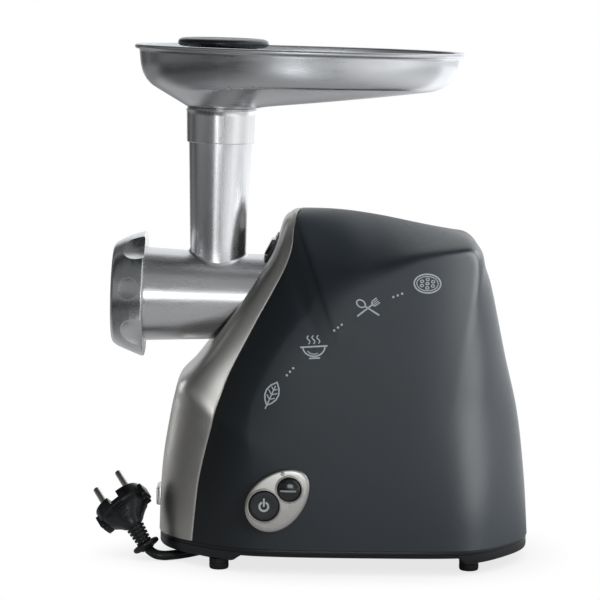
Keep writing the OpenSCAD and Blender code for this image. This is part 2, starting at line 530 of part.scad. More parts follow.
module intermediate_shaft() color(steel) {
    on_shaft(62, z_mid) cylinder(r = 4, h = 33.2);
    on_shaft(66.4, z_mid) linear_extrude(16) gear2d(m_out, pinion_teeth, 1);
    on_shaft(84, z_mid) cylinder(r = 5, h = 8.6);
}
module intermediate_bushings() color("#a8804c") {
    on_shaft(gb_x + 1.6, z_mid) tube(7, 4.05, 3.4);
    on_shaft(gb_x + gb_len - 1.2, z_mid) tube(7, 4.05, 2.7);
}

// ---------- motor ----------
module sector2d(r, a) polygon(concat([[0, 0]], [for (i = [-4:4]) r / cos(a / 4) * [cos(i * a / 4), sin(i * a / 4)]]));
module stator2d() {
    difference() {
        circle(r = stator_r);
        circle(r = stator_r - 4.5);
    }
    for (f = [90, -90]) rotate(f) {
        intersection() {
            difference() {
                circle(r = 26);
                circle(r = 22.2);
            }
            sector2d(30, 55);
        }
        intersection() {
            difference() {
                circle(r = stator_r - 4);
                circle(r = 25);
            }
            translate([20, -9]) square([20, 18]);
        }
    }
}
module motor_stator() color("#6d7073") on_shaft(114, z_mot) linear_extrude(36) stator2d();
module field_coils() color("#9c5a2c") for (f = [90, -90]) on_shaft(109, z_mot) rotate(f) difference() {
    translate([26.6, -14, 0]) cube([3.4, 28, 46]);
    translate([25, -9.6, 4.4]) cube([8, 19.2, 37.2]);
}
module rotor() color("#77797c") {
    on_shaft(114.5, z_mot) difference() {
        cylinder(r = 21.6, h = 35);
        for (i = [0:11]) rotate(i * 30) translate([20, -1.2, -1]) cube([3, 2.4, 40]);
    }
    on_shaft(82, z_mot) cylinder(r = 3, h = 94);
    on_shaft(83.4, z_mot) linear_extrude(9.4) rotate(180 / pinion_teeth) gear2d(m_in, pinion_teeth, 1);
}
module commutator() color("#b87333") on_shaft(155, z_mot) difference() {
    tube(12, 3.05, 13);
    for (i = [0:11]) rotate(i * 30) translate([10.6, -0.4, -1]) cube([3, 0.8, 12]);
}
module cooling_fan() color("#1f2123") on_shaft(102.4, z_mot) {
    tube(34, 3, 1.4);
    tube(8, 3, 6.4);
    for (i = [0:11]) rotate(i * 30) translate([10, -0.7, 1.2]) cube([22, 1.4, 4.6]);
}
module motor_bearings() color(steel) {
    on_shaft(97.2, z_mot) tube(8.6, 3.05, 4.6);
    on_shaft(170.6, z_mot) tube(8.6, 3.05, 5);
}
module motor_bracket() color("#5b5e61") on_shaft(150, z_mot) difference() {
    union() {
        translate([0, 0, 0.1]) tube(stator_r, stator_r - 3, 20.4);
        translate([0, 0, 20.4]) cylinder(r = stator_r, h = 5.4);
    }
    translate([0, 0, 20.5]) cylinder(r = 8.6, h = 10);
    translate([0, 0, 19]) cylinder(r = 7, h = 10);
    for (a = [45:90:315]) rotate(a) translate([22, 0, 15]) cylinder(r = 7, h = 20);
}
brush_x = 161.5;
module carbon_brushes() color("#222222") for (s = [-1, 1]) on_shaft(brush_x, z_mot)
    translate([-3, s > 0 ? 12.15 : -26.15, -3]) cube([6, 14, 6]);
module brush_holders() color("#a8804c") for (s = [-1, 1]) on_shaft(brush_x, z_mot) difference() {
    translate([-4.4, s > 0 ? 14 : -34.4, -4.4]) cube([8.8, 20.4, 8.8]);
    translate([-3.15, s > 0 ? 10 : -28, -3.15]) cube([6.3, 18, 6.3]);
}
module motor_cradle() color("#2a2c2e") difference() {
    union() {
        translate([48, -34, base_top - 2.8]) cube([6, 68, 70]);
        translate([72, -34, base_top - 2.8]) cube([6, 68, 70]);
        translate([53, -34, base_top - 2.8]) cube([20, 68, 3]);
    }
    on_shaft(100, z_mot) cylinder(r = stator_r + 0.1, h = 60);
}

// ---------- mains lead ----------
module cord_gland() color("#141517") translate([gland_at[0], 0, gland_at[2]]) rotate([-90, 0, 0]) {
    translate([0, 0, 70]) cylinder(r = 5, h = 9);
    translate([0, 0, 70]) cylinder(r = 7, h = 4);
    translate([0, 0, 78.5]) cylinder(r = 7.5, h = 2.2);
    translate([0, 0, 80.5]) cylinder(r1 = 5.8, r2 = 4.2, h = 27.5);
}
module cord_clamp() color("#2a2c2e") difference() {
    translate([gland_at[0] - 11, 56, base_top - 2.8]) cube([22, 9, 16]);
    translate([gland_at[0], 50, gland_at[2]]) rotate([-90, 0, 0]) cylinder(r = cord_d / 2, h = 20);
}
cord_r = cord_d / 2;
// Routes of the lead: from the gland to the coil, and from the coil under the base to the plug.
coil_c = [0, 127];
coil_r = 36;
lead_route = [[60, 108, 24], [60, 113, 23.6], [59, 122, 21], [56.5, 131, 17], [52, 139.5, 12.5], [46, 147, 8.5], [38.5, 153.5, 5.6],
    [30, 158.8, 4], [20.5, 162.8, 3.4], [10.5, 165.2, 3.3], [2, 166.2, 3.3]];
run_route = [[-39.2, 125, 9.8], [-39.2, 112, 8.4], [-39.6, 98, 5.2], [-40.4, 84, 3.5], [-41.8, 70, 3.3], [-44.2, 55, 3.3],
    [-47.8, 40, 3.3], [-52.6, 26, 3.3], [-58.6, 13, 3.3], [-65.6, 1, 3.3], [-73.4, -10, 3.3], [-82, -19.8, 3.3],
    [-91, -28.2, 3.3], [-99, -33, 3.3], [-105.5, -34.8, 3.4], [-110.5, -34, 4.4], [-114.9, -31, 6.8]];
function unit(v) = v / norm(v);
// A tube swept along a route, flat ends, 10 sides.
module swept(route, r) {
    n = len(route); s = 10;
    function dir(i) = unit(route[min(i + 1, n - 1)] - route[max(i - 1, 0)]);
    function side(i) = unit(cross(dir(i), [0, 0, 1]));
    function ring(i) = let(d = dir(i), a = side(i), b = cross(a, d))
        [for (k = [0:s - 1]) route[i] + r * (cos(k * 360 / s + 18) * a + sin(k * 360 / s + 18) * b)];
    polyhedron(points = [for (i = [0:n - 1], p = ring(i)) p], convexity = 6,
        faces = concat([[for (k = [0:s - 1]) k]], [[for (k = [s - 1:-1:0]) (n - 1) * s + k]],
            [for (i = [0:n - 2], k = [0:s - 1], h = [0, 1]) let(a = i * s + k, b = i * s + (k + 1) % s)
                h ? [a, b + s, b] : [a, a + s, b + s]]));
}
module cord_lead() color("#17181a") swept(lead_route, cord_r);
module cord_run() color("#17181a") swept(run_route, cord_r);
module cord_coil() color("#17181a") translate([coil_c[0], coil_c[1], 0])
    rotate_extrude() translate([coil_r - cord_d, 0]) square([2 * cord_d, 2 * cord_d]);
module cord_tie() color("#2b2d2f") translate([coil_c[0] + 24, coil_c[1] - 24, 0]) rotate([0, 0, -45])
    translate([1.5, -4, 0]) difference() {
        translate([-7.9, 0, 0]) cube([15.8, 8, 14.4]);
        translate([-6.9, -1, -1]) cube([13.8, 10, 14.4]);
    }
// The plug stands on its rim, tipped back: pins up and away from the coil.
face_c = [-136.1, -12.2, 36.4];
neck_c = [-126, -25.7, 23.9];
rim_c = [-114.9, -31, 6.8];
module plug_frame() translate(face_c) rotate([0, 53.5, 126.9]) rotate([0, 0, -141.6]) children();
module oval(a, b, h) linear_extrude(h) {
    for (s = [-1, 1]) translate([s * (a - b), 0]) circle(r = b);
    square([2 * (a - b), 2 * b], center = true);
}
module plug_body() color("#101113") difference() {
    union() {
        plug_frame() translate([0, 0, -9]) oval(17.8, 12.8, 9);
        plug_frame() translate([0, 0, -13]) oval(16.6, 12, 4.1);
        plug_frame() translate([0, 0, -17]) oval(13.4, 10, 4.1);
        plug_frame() translate([0, 0, -21.5]) oval(8.6, 7.4, 4.6);
        between(neck_c, rim_c) translate([0, 0, -1.5]) cylinder(r1 = 6.2, r2 = 5, h = 19.8);
        between(neck_c, rim_c) translate([0, 0, 16.2]) cylinder(r = 9.5, h = 3.6);
    }
    for (s = [-1, 1]) plug_frame() translate([s * pin_pitch / 2, 0, -6]) cylinder(r = 1.95, h = 10);
    plug_frame() translate([-2.8, -20, -6]) cube([5.6, 12, 10]);
    plug_frame() translate([-2.8, 8, -6]) cube([5.6, 12, 10]);
}
// Each pin has a thinner root that is moulded into the body.
module plug_pins() color("#c9c9c6") for (s = [-1, 1]) plug_frame() translate([s * pin_pitch / 2, 0, 0]) {
    translate([0, 0, -5.9]) cylinder(r = 1.9, h = 7);
    translate([0, 0, 0.3]) cylinder(r = pin_r, h = pin_len - 1.1);
    translate([0, 0, pin_len - 0.8]) cylinder(r1 = pin_r, r2 = pin_r - 0.8, h = 0.8);
}

shell_left();
shell_right();
front_bezel();
socket_collar();
lock_button();
base_plate();
feet();
foot_screws();
cord_clip();
button_plate();
power_button();
reverse_button();
indicator_lamp();
power_switch();
reverse_switch();
head_casting();
auger();
auger_shank();
auger_washer();
knife();
hole_plate();
ring_nut();
tray();
pusher_body();
pusher_cap();
drive_coupling();
output_gear();
output_bushing();
intermediate_gear();
intermediate_shaft();
intermediate_bushings();
gearbox_housing();
gearbox_cover();
gearbox_screws();
motor_stator();
field_coils();
rotor();
commutator();
cooling_fan();
motor_bearings();
motor_bracket();
carbon_brushes();
brush_holders();
motor_cradle();
cord_gland();
cord_clamp();
cord_lead();
cord_coil();
cord_tie();
cord_run();
plug_body();
plug_pins();
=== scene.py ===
import bpy, bmesh, math, json
import numpy as np
from mathutils import Vector, Matrix

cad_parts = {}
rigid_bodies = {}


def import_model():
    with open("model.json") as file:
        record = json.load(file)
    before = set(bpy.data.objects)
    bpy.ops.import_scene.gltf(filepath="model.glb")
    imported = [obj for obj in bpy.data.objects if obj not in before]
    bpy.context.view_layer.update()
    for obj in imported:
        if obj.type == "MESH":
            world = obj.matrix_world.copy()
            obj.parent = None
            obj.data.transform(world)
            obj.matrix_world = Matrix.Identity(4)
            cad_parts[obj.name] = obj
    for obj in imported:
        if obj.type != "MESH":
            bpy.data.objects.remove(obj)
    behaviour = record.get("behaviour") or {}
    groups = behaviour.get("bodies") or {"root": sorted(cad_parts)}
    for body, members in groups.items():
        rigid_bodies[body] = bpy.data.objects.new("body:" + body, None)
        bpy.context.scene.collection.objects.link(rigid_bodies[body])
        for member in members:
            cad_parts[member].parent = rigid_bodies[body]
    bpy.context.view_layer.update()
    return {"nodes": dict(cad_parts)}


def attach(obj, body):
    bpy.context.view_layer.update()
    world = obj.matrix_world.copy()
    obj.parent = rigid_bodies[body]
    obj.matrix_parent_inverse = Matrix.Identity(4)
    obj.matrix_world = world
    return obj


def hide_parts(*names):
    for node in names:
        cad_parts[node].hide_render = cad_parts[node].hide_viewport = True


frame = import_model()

MM = 0.001
scene = bpy.context.scene
scene.view_settings.view_transform = "Standard"
scene.view_settings.look = "None"

# ------------------------------------------------------------------ camera
def make_camera():
    p, r = math.radians(7.23), math.radians(0.4)
    fwd = Vector((0, math.cos(p), -math.sin(p)))
    up0 = Vector((0, math.sin(p), math.cos(p)))
    right0 = Vector((1, 0, 0))
    right = right0 * math.cos(r) + up0 * math.sin(r)
    up = -right0 * math.sin(r) + up0 * math.cos(r)
    data = bpy.data.cameras.new("camera")
    data.sensor_width = 36
    data.lens = 150
    data.clip_start, data.clip_end = 0.05, 50
    cam = bpy.data.objects.new("camera", data)
    scene.collection.objects.link(cam)
    m = Matrix((right, up, -fwd)).transposed().to_4x4()
    m.translation = Vector((-0.0136, -1.68648, 0.38725))
    cam.matrix_world = m
    scene.camera = cam
make_camera()

# ------------------------------------------------------------------ materials
def new_mat(name):
    m = bpy.data.materials.new(name)
    m.use_nodes = True
    nt = m.node_tree
    b = nt.nodes["Principled BSDF"]
    return m, nt, b

def node(nt, kind, **kw):
    n = nt.nodes.new(kind)
    for k, v in kw.items():
        if k in n.inputs:
            n.inputs[k].default_value = v
        else:
            setattr(n, k, v)
    return n

def coords(nt, scale=(1, 1, 1), rotate=(0, 0, 0)):
    t = nt.nodes.new("ShaderNodeTexCoord")
    mp = nt.nodes.new("ShaderNodeMapping")
    mp.inputs["Scale"].default_value = scale
    mp.inputs["Rotation"].default_value = rotate
    nt.links.new(t.outputs["Object"], mp.inputs["Vector"])
    return mp.outputs["Vector"]

def noise(nt, vec, scale, detail=3, rough=0.55, distort=0.0):
    n = nt.nodes.new("ShaderNodeTexNoise")
    n.inputs["Scale"].default_value = scale
    n.inputs["Detail"].default_value = detail
    n.inputs["Roughness"].default_value = rough
    n.inputs["Distortion"].default_value = distort
    nt.links.new(vec, n.inputs["Vector"])
    return n.outputs["Fac"]

def ramp(nt, fac, stops):
    r = nt.nodes.new("ShaderNodeValToRGB")
    els = r.color_ramp.elements
    while len(els) < len(stops):
        els.new(0.5)
    for e, (p, c) in zip(els, stops):
        e.position = p
        e.color = c if len(c) == 4 else (*c, 1)
    nt.links.new(fac, r.inputs["Fac"])
    return r.outputs["Color"]

def remap(nt, fac, a, b, lo=0.0, hi=1.0):
    m = nt.nodes.new("ShaderNodeMapRange")
    m.inputs["From Min"].default_value = lo
    m.inputs["From Max"].default_value = hi
    m.inputs["To Min"].default_value = a
    m.inputs["To Max"].default_value = b
    nt.links.new(fac, m.inputs["Value"])
    return m.outputs["Result"]

def smooth_in(nt, value, a, b):
    m = nt.nodes.new("ShaderNodeMapRange")
    m.interpolation_type = "SMOOTHSTEP"
    m.inputs["From Min"].default_value = a
    m.inputs["From Max"].default_value = b
    nt.links.new(value, m.inputs["Value"])
    return m.outputs["Result"]

def math_node(nt, op, a, b=None):
    m = nt.nodes.new("ShaderNodeMath")
    m.operation = op
    for i, v in enumerate((a, b)):
        if v is None:
            continue
        if isinstance(v, (int, float)):
            m.inputs[i].default_value = v
        else:
            nt.links.new(v, m.inputs[i])
    return m.outputs[0]

def bump(nt, b, height, strength, dist=0.0002, normal=None):
    n = nt.nodes.new("ShaderNodeBump")
    n.inputs["Strength"].default_value = strength
    n.inputs["Distance"].default_value = dist
    nt.links.new(height, n.inputs["Height"])
    if normal is not None:
        nt.links.new(normal, n.inputs["Normal"])
    nt.links.new(n.outputs["Normal"], b.inputs["Normal"])
    return n.outputs["Normal"]

def plastic(name, base, rough=0.42, spread=0.06, grain=2600, depth=0.25, mottle=0.12, spec=0.5, coat=0.0, coat_rough=0.1):
    """Moulded plastic: fine spark-eroded grain, a slow drift of tone and gloss, and faint scuffs."""
    m, nt, b = new_mat(name)
    v = coords(nt)
    slow = noise(nt, v, 14, 2)
    c0 = tuple(x * (1 - mottle) for x in base)
    c1 = tuple(x * (1 + mottle) for x in base)
    nt.links.new(ramp(nt, slow, [(0.3, c0), (0.7, c1)]), b.inputs["Base Color"])
    fine = noise(nt, v, grain, 2, 0.6)
    mid = noise(nt, v, 260, 3)
    rr = math_node(nt, "ADD", remap(nt, mid, rough - spread, rough + spread, 0.3, 0.7), remap(nt, fine, -0.03, 0.03, 0.3, 0.7))
    nt.links.new(rr, b.inputs["Roughness"])
    bump(nt, b, fine, depth, 0.00008)
    b.inputs["Specular IOR Level"].default_value = spec
    if coat:
        b.inputs["Coat Weight"].default_value = coat
        b.inputs["Coat Roughness"].default_value = coat_rough
    return m

def metal(name, base, rough=0.25, spread=0.05, stretch=(1, 1, 1), lines=900, depth=0.12, aniso=0.0, tint=0.05, spin=None, dist=0.00005, cloud=0.03):
    """Metal with tool or brush lines: the noise is stretched along the direction of finish.
    spin gives the axis frame of a turned piece: a function that links a vector of (along, radius, angle)."""
    m, nt, b = new_mat(name)
    b.inputs["Metallic"].default_value = 1.0
    if spin is None:
        v = coords(nt, stretch)
    else:
        v = spin(nt)
    fine = noise(nt, v, lines, 4, 0.65)
    v2 = coords(nt)
    slow = noise(nt, v2, 22, 3)
    c0 = tuple(x * (1 - tint) for x in base)
    c1 = tuple(min(1, x * (1 + tint)) for x in base)
    mixf = math_node(nt, "ADD", math_node(nt, "MULTIPLY", fine, 0.6), math_node(nt, "MULTIPLY", slow, 0.4))
    nt.links.new(ramp(nt, mixf, [(0.3, c0), (0.7, c1)]), b.inputs["Base Color"])
    r1 = remap(nt, fine, rough - spread, rough + spread, 0.3, 0.7)
    r2 = remap(nt, slow, -cloud, cloud, 0.3, 0.7)
    nt.links.new(math_node(nt, "ADD", r1, r2), b.inputs["Roughness"])
    bump(nt, b, fine, depth, dist)
    if aniso:
        b.inputs["Anisotropic"].default_value = aniso
    return m

def drawn(nt):
    """Coordinates for finish lines that run along the barrel, and up the feed tube above it."""
    t = nt.nodes.new("ShaderNodeTexCoord")
    sep = nt.nodes.new("ShaderNodeSeparateXYZ")
    nt.links.new(t.outputs["Object"], sep.inputs[0])
    up = smooth_in(nt, sep.outputs[2], 0.2065, 0.2105)
    comb = nt.nodes.new("ShaderNodeCombineXYZ")
    def scaled(axis, low, high):
        k = remap(nt, up, low, high)
        nt.links.new(math_node(nt, "MULTIPLY", sep.outputs[axis], k), comb.inputs[axis])
    scaled(0, 0.03, 1.0)
    nt.links.new(sep.outputs[1], comb.inputs[1])
    scaled(2, 1.0, 0.03)
    return comb.outputs[0]

# ------------------------------------------------------------------ mesh helpers (millimetres in, metres out)
T = math.radians(1.3)
HEAD = Matrix.Translation((-70, 0, 176)) @ Matrix.Rotation(T, 4, "Y")
ALONG = HEAD @ Matrix.Rotation(math.pi / 2, 4, "Y")   # a lathe's axis z becomes the head's axis, to the rear
def euler(a, b, c):
    return (Matrix.Rotation(math.radians(c), 4, "Z") @ Matrix.Rotation(math.radians(b), 4, "Y")
            @ Matrix.Rotation(math.radians(a), 4, "X"))
PLATE = Matrix.Translation((-27, -76.9, 51)) @ euler(-2, 0, -3.6) @ euler(90, 0, 0)
FACE_C, NECK_C, RIM_C = Vector((-136.1, -12.2, 36.4)), Vector((-126, -25.7, 23.9)), Vector((-114.9, -31, 6.8))
PLUG = Matrix.Translation(FACE_C) @ euler(0, 53.5, 126.9) @ euler(0, 0, -141.6)

def moved(verts, frame_):
    v = np.asarray(verts, float)
    if frame_ is None:
        return v
    m = np.array(frame_)
    return v @ m[:3, :3].T + m[:3, 3]

def grid_quads(ni, nj, wi=False, wj=False, off=0, flip=False):
    ii = np.arange(ni if wi else ni - 1)
    jj = np.arange(nj if wj else nj - 1)
    I, J = np.meshgrid(ii, jj, indexing="ij")
    I2, J2 = (I + 1) % ni, (J + 1) % nj
    q = np.stack([I * nj + J, I2 * nj + J, I2 * nj + J2, I * nj + J2], -1).reshape(-1, 4) + off
    return q[:, ::-1] if flip else q

def link(name, me):
    o = bpy.data.objects.new(name, me)
    scene.collection.objects.link(o)
    return o

def raw(name, verts, faces, frame_=None, merge=1e-4, fix=True):
    """An object from vertices in mm; doubled points are merged and normals made to look outwards."""
    v = moved(verts, frame_) * MM
    me = bpy.data.meshes.new(name)
    me.from_pydata([tuple(p) for p in v], [], [tuple(int(k) for k in f) for f in faces])
    bm = bmesh.new()
    bm.from_mesh(me)
    bmesh.ops.remove_doubles(bm, verts=bm.verts, dist=merge * MM)
    bmesh.ops.dissolve_degenerate(bm, edges=bm.edges, dist=1e-9)
    if fix:
        bmesh.ops.recalc_face_normals(bm, faces=bm.faces)
    bm.to_mesh(me)
    bm.free()
    return link(name, me)

def lathe(name, profile, n=96, frame_=None, closed=False, **kw):
    """profile: (radius, height) pairs turned about z. closed: the profile is a ring."""
    pr = np.asarray(profile, float)
    a = np.arange(n) * 2 * math.pi / n
    v = np.stack([pr[None, :, 0] * np.cos(a)[:, None], pr[None, :, 0] * np.sin(a)[:, None],
                  np.broadcast_to(pr[None, :, 1], (n, len(pr)))], -1).reshape(-1, 3)
    return raw(name, v, grid_quads(n, len(pr), True, closed), frame_, **kw)

def box_obj(lo, hi, frame_=None, bev=0.0, name="box", seg=3):
    lo, hi = np.array(lo, float), np.array(hi, float)
    me = bpy.data.meshes.new(name)
    bm = bmesh.new()
    bmesh.ops.create_cube(bm, size=1)
    for v in bm.verts:
        v.co = Vector([(lo[k] + hi[k]) / 2 + v.co[k] * (hi[k] - lo[k]) for k in range(3)])
    if bev:
        bmesh.ops.bevel(bm, geom=list(bm.edges), offset=bev, segments=seg, profile=0.5, affect="EDGES", clamp_overlap=True)
    m = frame_ if frame_ is not None else Matrix()
    for v in bm.verts:
        v.co = (m @ v.co) * MM
    bm.to_mesh(me)
    bm.free()
    return link(name, me)

def boolean(o, cutter, op="DIFFERENCE", solver="EXACT"):
    md = o.modifiers.new("b", "BOOLEAN")
    md.operation, md.object, md.solver = op, cutter, solver
    dg = bpy.context.evaluated_depsgraph_get()
    me = bpy.data.meshes.new_from_object(o.evaluated_get(dg))
    o.modifiers.clear()
    old, o.data = o.data, me
    bpy.data.meshes.remove(old)
    cm = cutter.data
    bpy.data.objects.remove(cutter)
    if cm.users == 0:
        bpy.data.meshes.remove(cm)
    bm = bmesh.new()
    bm.from_mesh(me)
    bmesh.ops.remove_doubles(bm, verts=bm.verts, dist=2e-6)
    bmesh.ops.dissolve_degenerate(bm, edges=bm.edges, dist=1e-6)
    bm.to_mesh(me)
    bm.free()
    return o

def edge_round(o, width, segs=2, angle=35):
    md = o.modifiers.new("bev", "BEVEL")
    md.width, md.segments, md.limit_method, md.angle_limit = width * MM, segs, "ANGLE", math.radians(angle)
    md.harden_normals = False
    dg = bpy.context.evaluated_depsgraph_get()
    me = bpy.data.meshes.new_from_object(o.evaluated_get(dg))
    o.modifiers.clear()
    old, o.data = o.data, me
    bpy.data.meshes.remove(old)
    return o

def join(name, objs):
    bm = bmesh.new()
    for o in objs:
        bm.from_mesh(o.data)
    me = bpy.data.meshes.new(name)
    bm.to_mesh(me)
    bm.free()
    for o in objs:
        bpy.data.objects.remove(o)
    return link(name, me)

def piece(o, name, mat, body="root", stands_for=(), sharp=32):
    if name in frame["nodes"]:
        name += "_surface"
    o.name = name
    o.data.name = name
    o.data.materials.clear()
    o.data.materials.append(mat)
    o.data.shade_smooth()
    o.data.set_sharp_from_angle(angle=math.radians(sharp))
    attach(o, body)
    if stands_for:
        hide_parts(*stands_for)
    return o

# ------------------------------------------------------------------ lead: its route repeats the model's own points
CORD_D = 6.5
LEAD = [(60, 108, 24), (60, 113, 23.6), (59, 122, 21), (56.5, 131, 17), (52, 139.5, 12.5), (46, 147, 8.5), (38.5, 153.5, 5.6),
        (30, 158.8, 4), (20.5, 162.8, 3.4), (10.5, 165.2, 3.3)]
RUN = [(-39.2, 112, 8.4), (-39.6, 98, 5.2), (-40.4, 84, 3.5), (-41.8, 70, 3.3), (-44.2, 55, 3.3), (-47.8, 40, 3.3), (-52.6, 26, 3.3),
       (-58.6, 13, 3.3), (-65.6, 1, 3.3), (-73.4, -10, 3.3), (-82, -19.8, 3.3), (-91, -28.2, 3.3), (-99, -33, 3.3),
       (-105.5, -34.8, 3.4), (-110.5, -34, 4.4), (-114.9, -31, 6.8)]
def coil_points():
    pts = []
    c = Vector((0, 127, 0))
    # stages: from angle, to angle, radius, height
    stages = [(90, 430, 39.2, 3.3), (462, 792, 32.7, 3.3), (824, 1150, 32.7, 9.8), (1184, 1620, 39.2, 9.8)]
    def smooth(t):
        return t * t * (3 - 2 * t)
    a = 90.0
    while a <= 1620.01:
        for k, (a0, a1, r, z) in enumerate(stages):
            if a <= a1 or k == len(stages) - 1:
                if a >= a0:
                    rr, zz = r, z
                else:
                    pa1, pr, pz = stages[k - 1][1], stages[k - 1][2], stages[k - 1][3]
                    t = smooth((a - pa1) / (a0 - pa1))
                    rr, zz = pr + (r - pr) * t, pz + (z - pz) * t
                break
        w = math.radians(a)
        pts.append((c.x + rr * math.cos(w), c.y + rr * math.sin(w), zz))
        a += 15.0
    return pts

def make_cord():
    pts = LEAD + coil_points() + RUN
    cu = bpy.data.curves.new("mains_lead", "CURVE")
    cu.dimensions = "3D"
    cu.resolution_u = 6
    cu.bevel_depth = CORD_D / 2 * MM
    cu.bevel_resolution = 6
    cu.use_fill_caps = True
    sp = cu.splines.new("BEZIER")
    sp.bezier_points.add(len(pts) - 1)
    for b, p in zip(sp.bezier_points, pts):
        b.co = Vector(p) * MM
        b.handle_left_type = b.handle_right_type = "AUTO"
    o = bpy.data.objects.new("mains_lead", cu)
    scene.collection.objects.link(o)
    return o
cord = make_cord()

# ------------------------------------------------------------------ housing surface
ST = np.array([
    [-108.8, 17, 0.8, 0.35, 4, 0.857, 0.6, 0.1, 2],
    [-108, 42, 0.8, 0.35, 4, 0.849, 0.6, 0.1, 2],
    [-106, 67, 0.8, 0.33, 4.5, 0.844, 0.61, 0.1, 2],
    [-102, 92, 0.81, 0.3, 5, 0.837, 0.63, 0.105, 2],
    [-98.3, 110, 0.82, 0.24, 6, 0.833, 0.655, 0.11, 1.9],
    [-94.5, 121.5, 0.83, 0.17, 7, 0.838, 0.69, 0.115, 1.8],
    [-84.5, 131.5, 0.84, 0.12, 8, 0.868, 0.735, 0.12, 1.65],
    [-73.4, 145.8, 0.85, 0.1, 9, 0.895, 0.775, 0.125, 1.5],
    [-52.5, 176, 0.84, 0.1, 12, 0.92, 0.8, 0.13, 1.35],
    [-34.5, 203, 0.82, 0.11, 12, 0.935, 0.8, 0.14, 1.25],
    [-28.3, 217, 0.79, 0.14, 12, 0.933, 0.775, 0.14, 1.2],
    [-24.5, 228.5, 0.77, 0.22, 12, 0.935, 0.765, 0.13, 1.2],
    [-19.5, 233.6, 0.77, 0.3, 12, 0.972, 0.765, 0.1, 1.2],
    [-12.5, 236, 0.785, 0.38, 13, 1, 0.77, 0.05, 1.2],
    [13, 235.6, 0.83, 0.55, 15, 1, 0.8, 0, 1.2],
    [38, 232.4, 0.868, 0.7, 17, 1, 0.8, 0, 1.2],
    [64.6, 227.1, 0.922, 0.7, 18, 1, 0.8, 0, 1.2],
    [89, 221.8, 0.965, 0.5, 16, 1, 0.8, 0, 1.2],
    [101, 217.5, 0.985, 0.25, 13, 1, 0.8, 0, 1.2],
    [107.5, 211, 0.97, 0.22, 8, 1, 0.8, 0, 1.2],
    [110.5, 200, 0.93, 0.22, 7, 1, 0.8, 0, 1.2],
    [115.5, 184, 0.88, 0.22, 6, 1, 0.8, 0, 1.2],
    [125, 140, 0.8, 0.23, 5.5, 1, 0.8, 0, 1.2],
    [134, 101, 0.72, 0.24, 5, 1, 0.8, 0, 1.2],
    [139.5, 57, 0.67, 0.25, 5, 1, 0.8, 0, 1.2],
    [142.3, 17, 0.65, 0.25, 5, 1, 0.8, 0, 1.2]], float)
POLE = np.array([60.0, 17.0])
N_ST, SEAM_ST, HW, SEAM, WALL = len(ST) - 1, 13, 78.0, 0.0015, 2.5

def rows(u):
    u = np.atleast_1d(np.asarray(u, float))
    i = np.clip(np.floor(u).astype(int), 0, N_ST - 1)
    t = (u - i)[:, None]
    p1, p2 = ST[i], ST[i + 1]
    p0 = np.where((i > 0)[:, None], ST[np.maximum(i - 1, 0)], 2 * p1 - p2)
    p3 = np.where((i + 2 <= N_ST)[:, None], ST[np.minimum(i + 2, N_ST)], 2 * p2 - p1)
    return 0.5 * (2 * p1 + (p2 - p0) * t + (2 * p0 - 5 * p1 + 4 * p2 - p3) * t * t + (3 * p1 - p0 - 3 * p2 + p3) * t ** 3)

def bow(x, z):
    """How much further the wall pulls in towards the rear, above the foot of the housing."""
    t = np.maximum(0, (x - 42) / 50)
    up = np.clip((z - 30) / 90, 0, 1)
    return 4.0 * np.where(t < 1, t * t, 2 * t - 1) * up * up * (3 - 2 * up)

def swell(x, z):
    return HW - bow(x, z) - 12 * (np.maximum(0, z - POLE[1]) / 200) ** 2 - np.where(x < POLE[0], 6 * ((POLE[0] - x) / 168) ** 2, 8 * ((x - POLE[0]) / 82) ** 2)

def half(r, s):
    rc, e, k = s[..., 2], s[..., 3], s[..., 4]
    rr = np.clip(r, 1e-6, 1 - 1e-9)
    def wall_at(q):
        return swell(POLE[0] + q * (s[..., 0] - POLE[0]), POLE[1] + q * (s[..., 1] - POLE[1]))
    a = wall_at(rr)
    b = wall_at(rc) * ((1 - rr) / (1 - rc)) ** e * rc / rr
    w = (a ** -k + b ** -k) ** (-1 / k)
    w = w * (1 - s[..., 7] * np.clip((r - s[..., 6]) / (s[..., 5] - s[..., 6]), 0, 1) ** np.maximum(s[..., 8], 0.5))
    return np.where(r <= 0, HW, np.where(r >= 1, 0.0, w))

def skin(u, r, t, side):
    """Points of the surface. u: (n,), r: (n, m), t: (n, m) depth below the outer face."""
    u = np.atleast_1d(u)
    s = rows(u)
    a, b = rows(np.clip(u - 0.02, 0, N_ST)), rows(np.clip(u + 0.02, 0, N_ST))
    d = b[:, :2] - a[:, :2]
    d /= np.linalg.norm(d, axis=1)[:, None]
    nrm = np.stack([d[:, 1], -d[:, 0]], 1)
    nrm[u <= 0] = [1, 0]
    nrm[u >= N_ST] = [-1, 0]
    t = np.broadcast_to(t, r.shape)
    ox = s[:, 0][:, None] + t * nrm[:, 0][:, None]
    oz = s[:, 1][:, None] + t * nrm[:, 1][:, None]
    S = np.broadcast_to(s[:, None, :], r.shape + (9,))
    y = side * half(r, S) * (HW - t) / HW
    return np.stack([POLE[0] + r * (ox - POLE[0]), y, POLE[1] + r * (oz - POLE[1])], -1)

def reach(u):
    return np.linalg.norm(rows(u)[:, :2] - POLE, axis=1)

